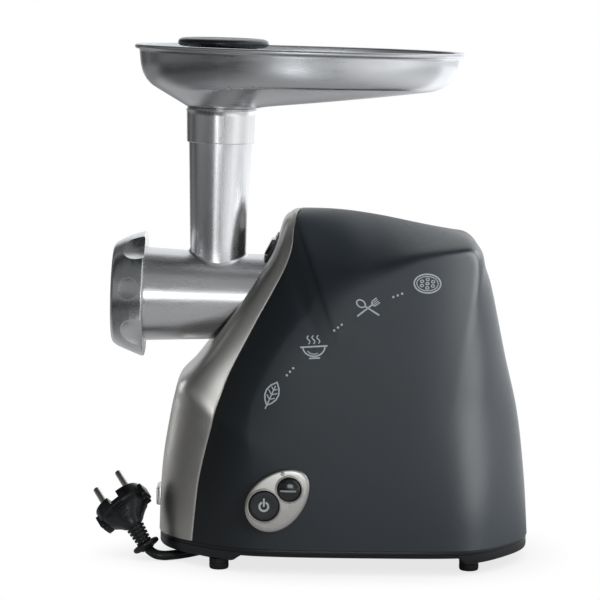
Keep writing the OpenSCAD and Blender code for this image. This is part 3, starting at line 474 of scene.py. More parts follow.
def wall_mesh(name, outer, inner):
    ni, nj = outer.shape[:2]
    v = np.concatenate([outer.reshape(-1, 3), inner.reshape(-1, 3)])
    N = ni * nj
    f = [grid_quads(ni, nj), grid_quads(ni, nj, off=N, flip=True)]
    i = np.arange(ni - 1)
    j = np.arange(nj - 1)
    f.append(np.stack([i * nj, N + i * nj, N + (i + 1) * nj, (i + 1) * nj], -1))
    f.append(np.stack([i * nj + nj - 1, (i + 1) * nj + nj - 1, N + (i + 1) * nj + nj - 1, N + i * nj + nj - 1], -1))
    f.append(np.stack([j, j + 1, N + j + 1, N + j], -1))
    b = (ni - 1) * nj
    f.append(np.stack([b + j, N + b + j, N + b + j + 1, b + j + 1], -1))
    return raw(name, v, np.concatenate(f))

EDGE = ((0.75, 0.0), (0.45, 0.05), (0.2, 0.2), (0.05, 0.45), (0.0, 0.75))
def shell(side):
    us = np.unique(np.concatenate([np.linspace(0, 12, 110), np.linspace(12, 13, 16), np.linspace(13, N_ST, 170)]))
    s, R = rows(us), reach(us)
    front = us < SEAM_ST
    top = np.minimum(np.where(front, s[:, 5] - SEAM, 1.0), 1.0)
    v = 1 - (1 - np.linspace(0, 1, 84)) ** 1.75
    vf = 0.45 * np.linspace(0, 1, 84) + 0.55 * v
    cols, deps = [], []
    k = np.clip((SEAM_ST - us) / 0.8, 0, 1)          # the full edge round fades out where the halves meet on the ridge
    size = 0.25 + 0.75 * k
    last = top - EDGE[0][0] * size / R
    for q in range(84):
        mix = np.clip((us - 10.5) / 2.5, 0, 1)
        mix = mix * mix * (3 - 2 * mix)
        cols.append(last * (vf[q] * (1 - mix) + v[q] * mix))
        deps.append(np.zeros_like(us))
    for d, t in EDGE[1:]:
        cols.append(top - d * size / R)
        deps.append(t * size)
    r = np.stack(cols, 1)
    t = np.stack(deps, 1)
    return wall_mesh("shell", skin(us, r, t, side), skin(us, r, np.full_like(r, WALL), side))

def bezel():
    us = np.unique(np.concatenate([np.linspace(0, 4, 40), np.linspace(4, 7, 60), np.linspace(7, 9, 24), np.linspace(9, 12.4, 60), np.linspace(12.4, 13, 14)]))
    s, R = rows(us), reach(us)
    rs = np.minimum(np.where(us < SEAM_ST, s[:, 5] + SEAM, 1.0), 1.0)
    w = 1 - rs
    cols, deps, sides = [], [], []
    size = np.clip(w * R / 3.0, 0, 1)
    edge = [(d * size / R, t * size) for d, t in EDGE]
    n = 60
    q = np.linspace(-1, 1, 2 * n + 1)
    rr, tt, sd = [], [], []
    for d, t in edge[::-1][:-1]:
        rr.append(rs + d); tt.append(t); sd.append(-1)
    inner_w = w - edge[0][0]
    for x in q:
        rr.append(1 - inner_w * abs(x) ** 2.4); tt.append(np.zeros_like(us)); sd.append(-1 if x < 0 else 1)
    for d, t in edge[1:]:
        rr.append(rs + d); tt.append(t); sd.append(1)
    r, t = np.stack(rr, 1), np.stack(tt, 1)
    o = skin(us, r, t, 1.0)
    i = skin(us, r, np.full_like(r, WALL), 1.0)
    sgn = np.array(sd)[None, :]
    o[..., 1] *= sgn
    i[..., 1] *= sgn
    return wall_mesh("bezel", o, i)

_u = np.linspace(0, N_ST, 4001)
_o = rows(_u)[:, :2] - POLE
_ang = np.arctan2(_o[:, 1], _o[:, 0])
def side_y(x, z):
    """Half width of the housing at points of its side view."""
    x, z = np.atleast_1d(np.asarray(x, float)), np.atleast_1d(np.asarray(z, float))
    a = np.arctan2(z - POLE[1], x - POLE[0])
    u = np.interp(-a, -_ang, _u)
    s = rows(u)
    r = np.hypot(x - POLE[0], z - POLE[1]) / np.hypot(s[:, 0] - POLE[0], s[:, 1] - POLE[1])
    return half(r, s)

# ------------------------------------------------------------------ more mesh helpers
def cyl(r, z0, z1, frame_=None, n=96, bev=0.0, name="cyl"):
    pr = [(0, z0)] + ([(r - bev, z0), (r, z0 + bev), (r, z1 - bev), (r - bev, z1)] if bev else [(r, z0), (r, z1)]) + [(0, z1)]
    return lathe(name, pr, n, frame_)

def extrude(name, poly, z0, z1, frame_=None):
    """A flat outline (counter-clockwise) given height along z."""
    n = len(poly)
    v = [(x, y, z0) for x, y in poly] + [(x, y, z1) for x, y in poly]
    f = [list(range(n))[::-1], list(range(n, 2 * n))] + [[i, (i + 1) % n, n + (i + 1) % n, n + i] for i in range(n)]
    return raw(name, v, f, frame_)

def loft(name, rings, frame_=None, caps=True):
    """Equal closed rings of points, joined, with a centre point on each end."""
    R = np.asarray(rings, float)
    k, n = R.shape[:2]
    v = R.reshape(-1, 3)
    f = [list(q) for q in grid_quads(k, n, False, True)]
    if caps:
        c0, c1 = R[0].mean(0), R[-1].mean(0)
        v = np.concatenate([v, [c0, c1]])
        f += [[(j + 1) % n, j, k * n] for j in range(n)]
        f += [[(k - 1) * n + j, (k - 1) * n + (j + 1) % n, k * n + 1] for j in range(n)]
    return raw(name, v, f, frame_)

def arc(cx, cy, r, a0, a1, n):
    return [(cx + r * math.cos(math.radians(a0 + (a1 - a0) * i / n)), cy + r * math.sin(math.radians(a0 + (a1 - a0) * i / n))) for i in range(n + 1)]

def ribbon(path, width, thick=None, closed=False):
    """Outline pairs of a stroke: left and right points along a flat path, rounded where it ends."""
    p = np.asarray(path, float)
    if closed:
        d = np.roll(p, -1, 0) - np.roll(p, 1, 0)
    else:
        d = np.gradient(p, axis=0)
    d /= np.maximum(np.linalg.norm(d, axis=1), 1e-9)[:, None]
    n = np.stack([-d[:, 1], d[:, 0]], 1)
    w = np.full(len(p), width / 2.0)
    if thick is not None:
        w = np.asarray(thick) / 2.0
    if not closed:
        # a round end: the last points narrow
        e0, e1 = p[0] - d[0] * w[0], p[-1] + d[-1] * w[-1]
        p = np.concatenate([[e0, p[0] - d[0] * w[0] * 0.7], p, [p[-1] + d[-1] * w[-1] * 0.7, e1]])
        n = np.concatenate([[n[0], n[0]], n, [n[-1], n[-1]]])
        w = np.concatenate([[w[0] * 0.05, w[0] * 0.71], w, [w[-1] * 0.71, w[-1] * 0.05]])
    return p + n * w[:, None], p - n * w[:, None]

def stroke(name, path, width, place, up, down, closed=False, thick=None):
    """A thin closed ribbon. place maps (x, y, height) rows to mm."""
    L, R = ribbon(path, width, thick, closed)
    rings = []
    for q, h in ((L, up), (R, up), (R, down), (L, down)):
        rings.append(place(q[:, 0], q[:, 1], np.full(len(q), h)))
    v = np.stack(rings, 1)                     # (n, 4, 3)
    n = len(v)
    f = [list(q) for q in grid_quads(n, 4, closed, True)]
    if not closed:
        f += [[0, 1, 2, 3], [(n - 1) * 4 + k for k in (3, 2, 1, 0)]]
    return raw(name, v.reshape(-1, 3), f, merge=1e-6)

def lerp(a, b, t):
    return a + (b - a) * t

# ------------------------------------------------------------------ finishes
M_SHELL = plastic("housing_plastic", (0.0080, 0.0105, 0.0132), rough=0.40, spread=0.03, grain=3800, depth=0.22, mottle=0.05, spec=0.37)
M_BASE = plastic("base_plastic", (0.008, 0.009, 0.011), rough=0.36, spread=0.05, grain=3000, depth=0.16, mottle=0.10, spec=0.45)
M_RUBBER = plastic("foot_rubber", (0.009, 0.009, 0.010), rough=0.55, spread=0.08, grain=1800, depth=0.3, mottle=0.15, spec=0.4)
M_CORD = plastic("cord_rubber", (0.007, 0.008, 0.009), rough=0.33, spread=0.06, grain=1500, depth=0.15, mottle=0.12, spec=0.5)
M_PLUG = plastic("plug_plastic", (0.006, 0.0065, 0.008), rough=0.30, spread=0.06, grain=2200, depth=0.18, mottle=0.12, spec=0.5)
M_INSERT = plastic("insert_plastic", (0.010, 0.012, 0.014), rough=0.38, spread=0.05, grain=2800, depth=0.18, mottle=0.10)
M_GLOSS = plastic("gloss_plastic", (0.004, 0.0045, 0.005), rough=0.16, spread=0.04, grain=1200, depth=0.05, mottle=0.10, coat=0.5, coat_rough=0.06)
M_POWER = plastic("button_plastic", (0.013, 0.015, 0.017), rough=0.42, spread=0.05, grain=3400, depth=0.18, mottle=0.08)
M_PUSH = plastic("pusher_plastic", (0.009, 0.012, 0.015), rough=0.27, spread=0.05, grain=2400, depth=0.12, mottle=0.10)
M_PRINT = plastic("print_grey", (0.42, 0.44, 0.46), rough=0.5, spread=0.05, grain=3000, depth=0.1, mottle=0.06)
M_MOTIF = plastic("print_light", (0.60, 0.64, 0.67), rough=0.5, spread=0.05, grain=3000, depth=0.1, mottle=0.06)
M_WHITE = plastic("print_white", (0.62, 0.64, 0.66), rough=0.45, spread=0.05, grain=3000, depth=0.1, mottle=0.04)
M_LAMP = plastic("lamp_lens", (0.62, 0.62, 0.58), rough=0.2, spread=0.05, grain=1500, depth=0.05, mottle=0.05)
M_BEZEL = metal("bezel_metallic", (0.47, 0.456, 0.436), rough=0.36, spread=0.03, stretch=(1, 1, 0.06), lines=1500, depth=0.03, tint=0.05, cloud=0.02)
M_PLATE = metal("plate_nickel", (0.50, 0.485, 0.46), rough=0.30, spread=0.03, stretch=(0.08, 1, 1), lines=700, depth=0.02, tint=0.04, cloud=0.02)
M_CLIP = metal("clip_metallic", (0.60, 0.60, 0.60), rough=0.28, spread=0.04, stretch=(1, 1, 0.1), lines=1400, depth=0.04, tint=0.05)
M_BARREL = metal("barrel_aluminium", (0.70, 0.70, 0.71), rough=0.27, spread=0.03, lines=800, depth=0.05, tint=0.04, spin=drawn, dist=0.00004, cloud=0.03)
M_RING = metal("ring_aluminium", (0.70, 0.71, 0.72), rough=0.26, spread=0.05, lines=420, depth=0.02, tint=0.06, dist=0.00004, cloud=0.04)
M_COLLAR = metal("collar_aluminium", (0.70, 0.70, 0.70), rough=0.25, spread=0.05, stretch=(1, 1, 0.04), lines=800, depth=0.09, tint=0.05, dist=0.00004, cloud=0.03)
M_TRAY = metal("tray_aluminium", (0.60, 0.605, 0.62), rough=0.29, spread=0.04, lines=420, stretch=(0.12, 0.2, 1.0), depth=0.03, tint=0.03, dist=0.00002, cloud=0.05)
M_STEEL = metal("steel", (0.52, 0.53, 0.54), rough=0.28, spread=0.06, lines=1500, depth=0.10)
M_PIN = metal("pin_nickel", (0.66, 0.64, 0.60), rough=0.22, spread=0.05, stretch=(1, 1, 0.2), lines=1500, depth=0.06)

# ------------------------------------------------------------------ housing pieces
def make_shells():
    left = shell(-1)
    boolean(left, cyl(10.3, -8, 8, PLATE @ Matrix.Translation((-9.2, -4.1, 0))))
    boolean(left, cyl(8.1, -8, 8, PLATE @ Matrix.Translation((7.3, 7.1, 0))))
    piece(left, "shell_left", M_SHELL, "root", ("shell_left",), sharp=28)
    right = shell(1)
    boolean(right, cyl(5.1, 68, 88, Matrix.Translation((60, 0, 24)) @ Matrix.Rotation(-math.pi / 2, 4, "X")))
    piece(right, "shell_right", M_SHELL, "root", ("shell_right",), sharp=28)
make_shells()

LOCK = Matrix.Translation((-32.2, 0, 209)) @ Matrix.Rotation(math.radians(28), 4, "Y")
def make_bezel():
    b = bezel()
    boolean(b, cyl(32.4, -40, 60, ALONG, 192))
    boolean(b, box_obj((-116, -8.2, 32.3), (-96, 8.2, 46.9)))
    boolean(b, box_obj((-12, -14.2, -12.2), (18, 14.2, 10.2), LOCK))
    piece(b, "front_bezel", M_BEZEL, "root", ("front_bezel",), sharp=28)
make_bezel()

def make_collar():
    c = cyl(34, -16, 59.8, ALONG, 160)
    boolean(c, cyl(40, 54, 59.8, ALONG, 160), "UNION")
    face = Matrix.Translation((-73.4, -50, 145.8)) @ Matrix.Rotation(math.radians(34.2), 4, "Y")
    boolean(c, box_obj((-75, 0, -60), (5, 100, 140), face))
    boolean(c, box_obj((-1.4, -14, -12), (7.6, 14, 10), LOCK), "UNION")
    boolean(c, cyl(29.4, -20, 70, ALONG, 160))
    boolean(c, lathe("cone", [(0, -47.6), (32.15, -47.6), (29.45, 10.4), (0, 10.4)], 160, ALONG))
    boolean(c, box_obj((10, -9.4, 29.5), (54, 9.4, 40.4), HEAD))
    boolean(c, box_obj((40, -4.4, 26), (53, 4.4, 31), HEAD))
    boolean(c, box_obj((-81.4, -50, -11), (-1.4, 50, 49), LOCK))
    edge_round(c, 0.5, 3, 38)
    piece(c, "socket_collar", M_INSERT, "root", ("socket_collar",), sharp=40)
    k = box_obj((20, -9, 29.9), (50, 9, 40), HEAD)
    boolean(k, box_obj((41, -4, 26.6), (46, 4, 30.6), HEAD), "UNION")
    boolean(k, box_obj((-43.4, -20, -60), (-3.4, 20, 60), LOCK))
    boolean(k, box_obj((-8, -20, 0), (0, 20, 12), LOCK @ Matrix.Translation((-3.4, 0, 4)) @ Matrix.Rotation(math.radians(-30), 4, "Y")))
    edge_round(k, 0.7, 3, 25)
    piece(k, "lock_button", M_GLOSS, "lock", ("lock_button",), sharp=40)
make_collar()

# ------------------------------------------------------------------ base and feet
def footprint(n=90):
    """The housing's outline on the base, counter-clockwise from the front centre, and its inward normals."""
    q = np.linspace(0, 1, n)
    r = 1 - q ** 2.2
    fx, fy = 60 + r * (ST[0, 0] - 60), half(r, np.broadcast_to(ST[0], (n, 9)))
    bx, by = 60 + r * (ST[-1, 0] - 60), half(r, np.broadcast_to(ST[-1], (n, 9)))
    pts = np.concatenate([np.stack([fx, -fy], 1), np.stack([bx, -by], 1)[::-1][1:], np.stack([bx, by], 1)[1:], np.stack([fx, fy], 1)[::-1][1:-1]])
    d = np.roll(pts, -1, 0) - np.roll(pts, 1, 0)
    d /= np.linalg.norm(d, axis=1)[:, None]
    return pts, np.stack([-d[:, 1], d[:, 0]], 1)

def make_base():
    pts, nin = footprint()
    m = len(pts)
    def zb(x):
        f = np.clip((x + 57) / 5, 0, 1)
        b = np.clip((97 - x) / 5, 0, 1)
        return 7.5 + 4.0 * np.minimum(f, b)
    rings = []
    def ring(g, z):
        p = pts + nin * g
        zz = z(p[:, 0]) if callable(z) else np.full(m, z)
        rings.append(np.stack([p[:, 0], p[:, 1], zz], 1))
    ring(1.2, 16.9); ring(0.75, 16.75); ring(0.6, 16.4); ring(0.6, 15.2); ring(1.0, 14.9); ring(1.0, 14.3); ring(0.6, 14.0)
    for k in range(7):
        a = math.radians(15 * k)
        ring(0.6 + 2.6 * (1 - math.cos(a)), lambda x, a=a: zb(x) + 2.4 * (1 - math.sin(a)))
    ring(4.2, lambda x: zb(x))
    R = np.array(rings)
    k = len(R)
    v = R.reshape(-1, 3)
    f = [list(q) for q in grid_quads(k, m, False, True)]
    # caps: strips between mirrored points
    top = m - 1
    for base_, flip in ((0, False), ((k - 1) * m, True)):
        for i in range(0, m // 2):
            a, b = i, i + 1
            c, d = (m - i - 1) % m, (m - i) % m
            q = [base_ + a, base_ + b, base_ + c % m, base_ + d % m]
            q = list(dict.fromkeys(q))
            if len(q) > 2:
                f.append(q[::-1] if flip else q)
    b = raw("base", v, f)
    inner = pts + nin * 5
    boolean(b, extrude("in", [tuple(p) for p in inner], 14.1, 22))
    cuts = [box_obj((20 + i * 8 - 1.75, -24, 0), (20 + i * 8 + 1.75, 24, 30)) for i in range(-5, 6)]
    boolean(b, join("cuts", cuts))
    holes = [cyl(1.8, 0, 30, Matrix.Translation((x, y, 0)), 32) for x in (-66.4, 100.1) for y in (-55.3, 55.3)]
    boolean(b, join("holes", holes))
    piece(b, "base_plate", M_BASE, "root", ("base_plate",), sharp=30)
    fl = []
    for x in (-66.4, 100.1):
        for y in (-55.3, 55.3):
            fl.append(lathe("foot", [(1.8, 3.0), (3.4, 3.0), (3.4, 0.3), (3.7, 0.0), (5.5, 0.0), (5.9, 0.12), (6.2, 0.45), (6.3, 0.9), (6.5, 1.5), (6.5, 3.9),
                                     (6.3, 4.15), (6.3, 4.45), (6.5, 4.7), (6.5, 7.0), (6.3, 7.42), (1.8, 7.42)], 64, Matrix.Translation((x, y, 0)), closed=True))
    piece(join("feet", fl), "feet", M_RUBBER, "root", ("feet",), sharp=30)
make_base()

def make_clip():
    prof = [(-110.8, 33.4), (-109.9, 32.5), (-103.8, 32.5), (-103.8, 46.2), (-104.4, 46.7), (-106.9, 46.7), (-110.5, 44.6), (-110.8, 44.0)]
    fr = Matrix(((1, 0, 0, 0), (0, 0, -1, 0), (0, 1, 0, 0), (0, 0, 0, 1)))     # the outline's y is up, its z runs to -y
    o = extrude("clip", prof, -8, 8, fr)
    boolean(o, box_obj((-109.4, -12, 34.1), (-105.1, 12, 44.7)))
    edge_round(o, 0.35, 3, 30)
    piece(o, "cord_clip", M_CLIP, "root", ("cord_clip",), sharp=40)
make_clip()

# ------------------------------------------------------------------ controls
def egg(g, n=120):
    big, small = np.array([-6.5, -6.2]), np.array([8.8, 8.7])
    d = small - big
    l = np.linalg.norm(d)
    e = d / l
    m = (big + small) / 2 - 1.6 * e
    t = np.arange(n) * 2 * math.pi / n
    w = (17.3 - 2.1 * np.cos(t) + g) * np.sin(t)
    h = (l / 2 + 13.7 + g) * np.cos(t)
    return m + h[:, None] * e + w[:, None] * np.array([-e[1], e[0]]), m

def make_controls():
    rings = []
    for g, z in ((-0.3, -0.9), (0, -0.7), (0, 0.75), (-0.12, 1.15), (-0.4, 1.45), (-0.85, 1.68), (-1.5, 1.82)):
        p, m = egg(g)
        rings.append(np.column_stack([p, np.full(len(p), z)]))
    p0, m = egg(-1.5)
    for k in range(1, 13):
        s = 1 - k / 12.4
        p = m + (p0 - m) * s
        rings.append(np.column_stack([p, np.full(len(p), 1.82 + 0.45 * (1 - s * s))]))
    o = loft("plate", rings, PLATE)
    PC, RC, LC = Matrix.Translation((-9.2, -4.1, 0)), Matrix.Translation((7.3, 7.1, 0)), Matrix.Translation((2.9, 17.4, 0))
    boolean(o, cyl(10.6, -3, 6, PLATE @ PC, 128))
    boolean(o, cyl(8.4, -3, 6, PLATE @ RC, 128))
    boolean(o, cyl(1.3, -3, 6, PLATE @ LC, 32))
    # rolled lips round both buttons
    def lip(r, c):
        return lathe("lip", [(r, -0.8), (r + 1.2, -0.8), (r + 1.6, 2.0), (r + 1.25, 2.35), (r + 0.8, 2.45), (r + 0.35, 2.3), (r + 0.05, 1.95), (r, 1.4)], 128, PLATE @ c, closed=True)
    o = join("plate", [o, lip(10.0, PC), lip(7.8, RC)])
    piece(o, "button_plate", M_PLATE, "root", ("button_plate",), sharp=30)
    pw = lathe("power", [(0, -9.5), (2.4, -9.5), (2.4, -4.4), (9.7, -4.4), (9.7, 1.7), (9.55, 2.2), (9.2, 2.5), (8.7, 2.62), (7.5, 2.6), (5, 2.5), (2.5, 2.43), (0, 2.4)], 128, PLATE @ PC)
    piece(pw, "power_button", M_POWER, "power", ("power_button",), sharp=30)
    rv = lathe("reverse", [(0, -9.5), (2.4, -9.5), (2.4, -4.4), (7.5, -4.4), (7.5, 1.4), (7.4, 1.9), (7.1, 2.3), (6.4, 2.75), (5.2, 3.2), (3.6, 3.55), (1.8, 3.72), (0, 3.76)], 128, PLATE @ RC)
    piece(rv, "reverse_button", M_GLOSS, "reverse", ("reverse_button",), sharp=30)
    lamp = lathe("lamp", [(0, -0.4), (1.2, -0.4), (1.2, 2.2), (1.0, 2.55), (0.6, 2.75), (0, 2.8)], 32, PLATE @ LC)
    piece(lamp, "indicator_lamp", M_LAMP, "root", ("indicator_lamp",), sharp=40)
    pm = np.array(PLATE @ PC)
    def on_power(x, y, h):
        r2 = (x * x + y * y)
        z = 2.4 + 0.1 * r2 / 25 + h
        return np.column_stack([x, y, z]) @ pm[:3, :3].T + pm[:3, 3]
    ring_ = arc(0, -0.3, 2.9, 90 + 33, 90 + 327, 60)
    s1 = stroke("standby_ring", ring_, 1.35, on_power, 0.05, -0.1)
    s2 = stroke("standby_bar", [(0, 4.6 - i * 0.45) for i in range(11)], 1.25, on_power, 0.055, -0.1)
    piece(join("standby_symbol", [s1, s2]), "standby_symbol", M_WHITE, "power")
    rm = np.array(PLATE @ RC)
    zt = np.array([(0, 3.76), (1.8, 3.72), (3.6, 3.55), (5.2, 3.2), (6.4, 2.75), (7.1, 2.3)])
    def on_rev(x, y, h):
        z = np.interp(np.hypot(x, y), zt[:, 0], zt[:, 1]) + h
        return np.column_stack([x, y, z]) @ rm[:3, :3].T + rm[:3, 3]
    s = stroke("direction_bar", [(-5.3 + i * 0.35, -0.9) for i in range(28)], 1.15, on_rev, 0.07, -0.2)
    piece(s, "direction_bar", M_PRINT, "reverse")
make_controls()

# ------------------------------------------------------------------ printed motifs on the near side
def on_side(x, y, h):
    return np.column_stack([x, -(side_y(x, y) + h), y])

def make_motifs():
    out = []
    def put(c, rot_, s, strokes):
        a = math.radians(rot_)
        ca, sa = math.cos(a), math.sin(a)
        for path, w, *cl in strokes:
            closed = bool(cl and cl[0])
            p = np.asarray(path, float) * s
            # dense points follow the curved wall
            q = []
            pts_ = list(p) + ([p[0]] if closed else [])
            for u, v in zip(pts_[:-1], pts_[1:]):
                k = max(1, int(np.ceil(np.linalg.norm(v - u) / 0.45)))
                for i in range(k):
                    q.append(u + (v - u) * i / k)
            if not closed:
                q.append(pts_[-1])
            q = np.array(q)
            q = np.column_stack([c[0] + q[:, 0] * ca - q[:, 1] * sa, c[1] + q[:, 0] * sa + q[:, 1] * ca])
            out.append(stroke("m", q, w * 1.45, on_side, 0.06, -0.12, closed))
    def oval(cx, cy, a, b, a0=0, a1=360, n=36):
        return [(cx + a * math.cos(math.radians(a0 + (a1 - a0) * i / n)), cy + b * math.sin(math.radians(a0 + (a1 - a0) * i / n))) for i in range(n + (0 if a1 - a0 == 360 else 1))]
    # leaf with veins
    leaf = [(0, -9), (2.6, -6.2), (4.4, -2.6), (4.7, 1.2), (3.2, 5.2), (0, 9), (-3.2, 5.2), (-4.7, 1.2), (-4.4, -2.6), (-2.6, -6.2)]
    put((-31.5, 120.5), -24, 0.92, [(leaf, 0.62, True), ([(0, -11.5), (0, 6)], 0.55), ([(0, -4.5), (2.9, -2.2)], 0.45), ([(0, -4.5), (-2.9, -2.2)], 0.45),
        ([(0, -0.8), (3.2, 1.6)], 0.45), ([(0, -0.8), (-3.2, 1.6)], 0.45), ([(0, 2.6), (2.1, 4.4)], 0.45), ([(0, 2.6), (-2.1, 4.4)], 0.45)])
    # bowl with steam
    bowl = oval(0, 0.5, 7.6, 6.6, 180, 360, 24)
    wave = lambda x: [(x + 0.9 * math.sin(t * 1.1), 2.6 + t * 0.95) for t in np.linspace(0, 5.6, 16)]
    put((-4.3, 151.2), 4, 0.95, [(bowl, 0.65), ([(-9, 0.5), (9, 0.5)], 0.7), ([(-3.4, -7.4), (3.4, -7.4)], 0.7), (wave(-3.4), 0.5), (wave(0), 0.5), (wave(3.4), 0.5),
        (oval(0, -1.2, 4.6, 3.4, 200, 300, 12), 0.4)])
    # spoon and fork, crossed
    spoon = oval(0, 6.2, 2.5, 3.6)
    put((30.7, 177.2), 58, 0.86, [(spoon, 0.6, True), ([(0, 2.6), (0, -9.8)], 0.72)])
    put((30.7, 177.2), -52, 0.86, [([(0, 4.2), (0, -9.8)], 0.72), ([(-2.2, 9.6), (-2.1, 5.6), (-1.2, 4.4), (0, 4.1), (1.2, 4.4), (2.1, 5.6), (2.2, 9.6)], 0.5),
        ([(-0.75, 9.6), (-0.7, 4.6)], 0.42), ([(0.75, 9.6), (0.7, 4.6)], 0.42)])
    # disc with holes
    disc = [(oval(0, 0, 9.2, 6.4), 0.65, True), (oval(0, 0, 7.4, 4.9), 0.4, True), (oval(0, 0, 1.1, 0.8), 0.45, True)]
    for k in range(6):
        a = math.radians(60 * k + 30)
        disc.append((oval(4.4 * math.cos(a), 2.9 * math.sin(a), 1.15, 0.85, n=16), 0.42, True))
    put((69.5, 193.2), -3, 0.95, disc)
    for cx, cz, dx, dz in ((-19.8, 135.1, 0.66, 0.75), (11.3, 164.3, 0.78, 0.62), (50.1, 185.6, 0.93, 0.36)):
        for k in (-1, 0, 1):
            put((cx + dx * 3.1 * k, cz + dz * 3.1 * k), 0, 1, [(oval(0, 0, 0.42, 0.42, n=14), 0.5, True)])
    piece(join("side_motifs", out), "side_motifs", M_MOTIF, "root", sharp=60)
make_motifs()

# ------------------------------------------------------------------ head, ring nut, plate
def barrel_r_at(x):
    return np.where(x < -47.6, 31.65, np.where(x < 10, 31.65 + (x + 47.6) / 57.6 * (29 - 31.65), 29.0))

def make_head():
    barrel = lathe("barrel", [(0, -66), (31.2, -66), (31.65, -65.5), (31.65, -47.6), (31.65 - 2.65 * 0.25, -33.2), (31.65 - 2.65 * 0.5, -18.8),
                              (31.65 - 2.65 * 0.75, -4.4), (29, 10), (29, 57.2), (28.4, 58), (0, 58)], 256, ALONG)
    # feed tube with a fillet where it leaves the barrel
    n = 192
    th = np.arange(n) * 2 * math.pi / n
    rho = 2.4
    rings = []
    def at_barrel(rr, lift):
        x, y = rr * np.cos(th), rr * np.sin(th)
        R = barrel_r_at(x)
        return np.column_stack([x, y, np.sqrt(np.maximum(R * R - y * y, 0)) + lift])
    rings.append(np.column_stack([6 * np.cos(th), 6 * np.sin(th), np.full(n, 4.0)]))
    rings.append(np.column_stack([16 * np.cos(th), 16 * np.sin(th), np.full(n, 4.0)]))
    rb = 19.05
    rings.append(at_barrel(np.full(n, rb + rho), -0.9))
    for k in range(0, 13):
        a = math.radians(90 - 7.5 * k)
        rings.append(at_barrel(np.full(n, rb + rho * (1 - math.cos(a)) if False else rb + rho * (1 - math.cos(math.radians(90 - 7.5 * k)))), rho * (1 - math.sin(a)) - (0.06 if k == 0 else 0.0)))
    base_top_ring = rings[-1][:, 2].max()
    for z in (base_top_ring + 1.0, 44, 56, 70, 84, 96, 104):
        r = 19 + 0.0351 * (z - 31)
        rings.append(np.column_stack([r * np.cos(th), r * np.sin(th), np.full(n, float(z))]))
    rt = 19 + 0.0351 * 73
    for dr, z in ((0, 125.2), (0.2, 125.75), (0.7, 126.0)):
        rings.append(np.column_stack([(rt - dr) * np.cos(th), (rt - dr) * np.sin(th), np.full(n, z)]))
    tube = loft("tube", rings, HEAD)
    boolean(barrel, tube, "UNION")
    boolean(barrel, cyl(27.1, -67, -54, ALONG, 128))
    boolean(barrel, cyl(24, -60, 40, ALONG, 128))
    boolean(barrel, cyl(8.3, 30, 60, ALONG, 64))
    boolean(barrel, cyl(24, 46, 66, ALONG, 128))
    boolean(barrel, lathe("bore", [(0, 10), (17 - 0.0351 * 21, 10), (17 + 0.0351 * 95.5, 126.5), (0, 126.5)], 128, HEAD))
    boolean(barrel, box_obj((38, -4.6, 26), (59, 4.6, 32), HEAD))
    piece(barrel, "head_casting", M_BARREL, "head", ("head_casting",), sharp=26)
make_head()

def make_ring():
    prof = np.array([(31.6, 0.0), (32.4, 0.12), (33.2, 0.6), (34.4, 1.8), (35.4, 3.2), (36.1, 4.4), (38.3, 8.5), (40.3, 13.2), (41.7, 18.0), (42.3, 20.4), (42.4, 20.8), (42.35, 21.3), (42.0, 21.65), (41.4, 21.8)])
    # smooth the outline
    zz = np.concatenate([np.linspace(0, 2, 9), np.linspace(2, 20.6, 52)[1:], [20.9, 21.15, 21.4, 21.6, 21.72, 21.8]])
    rr = np.interp(zz, prof[:, 1], prof[:, 0])
    for _ in range(3):
        rr[1:50] = (rr[0:49] + 2 * rr[1:50] + rr[2:51]) / 4
    n = 720
    a = np.arange(n) * 2 * math.pi / n
    A, Z = np.meshgrid(a, zz, indexing="ij")
    R0 = np.broadcast_to(rr, A.shape)
    R = R0
    # four small round dimples, and four wide ones that run out at the rear edge
    for C, rs, zc, turn_ in ((70.0, 34.0, -0.1, -11), (73.5, 36.0, 10.5, 34)):
        per = math.pi / 2
        D = (A - math.radians(turn_) + per / 2) % per - per / 2
        q = rs ** 2 - (Z - zc) ** 2 - (C * np.sin(D)) ** 2
        dim = np.where(q > 0, C * np.cos(D) - np.sqrt(np.maximum(q, 0)), 60.0)
        k = 0.14
        h = np.clip(0.5 + 0.5 * (R - dim) / k, 0, 1)
        R = np.where(dim > 59, R, R * (1 - h) + dim * h - k * h * (1 - h))
    front = [(23.0, 3.8), (23.0, 0.5), (23.15, 0.15), (23.5, 0.0), (30.0, 0.0), (31.0, 0.0)]
    back = [(33.0, 21.8), (32.3, 21.75), (31.95, 21.4), (31.95, 3.8)]
    cols = [np.column_stack([np.full(n, r), np.full(n, z)]) for r, z in front]
    cols += [np.column_stack([R[:, j], Z[:, j]]) for j in range(len(zz))]
    cols += [np.column_stack([np.full(n, r), np.full(n, z)]) for r, z in back]
    P = np.stack(cols, 1)
    v = np.stack([P[..., 0] * np.cos(a)[:, None], P[..., 0] * np.sin(a)[:, None], P[..., 1] - 70.4], -1).reshape(-1, 3)
    o = raw("ring_nut", v, grid_quads(n, P.shape[1], True, True), ALONG)
    piece(o, "ring_nut", M_RING, "ring", ("ring_nut",), sharp=34)
make_ring()

def make_hole_plate():
    o = cyl(26.8, -66.5, -61.5, ALONG, 160, 0.3)
    cuts = [cyl(4, -70, -58, ALONG, 48)]
    for rad, k in ((8.6, 6), (14.2, 12), (19.8, 18)):
        for i in range(k):
            a = math.radians(i * 360 / k + rad * 3)
            cuts.append(lathe("h", [(0, -70), (2.55, -70), (2.55, -66.5), (2.25, -66.2), (2.25, -58), (0, -58)], 28, ALONG @ Matrix.Translation((rad * math.cos(a), rad * math.sin(a), 0))))
    boolean(o, join("cuts", cuts))
    piece(o, "hole_plate", M_STEEL, "head", ("hole_plate",), sharp=30)
make_hole_plate()

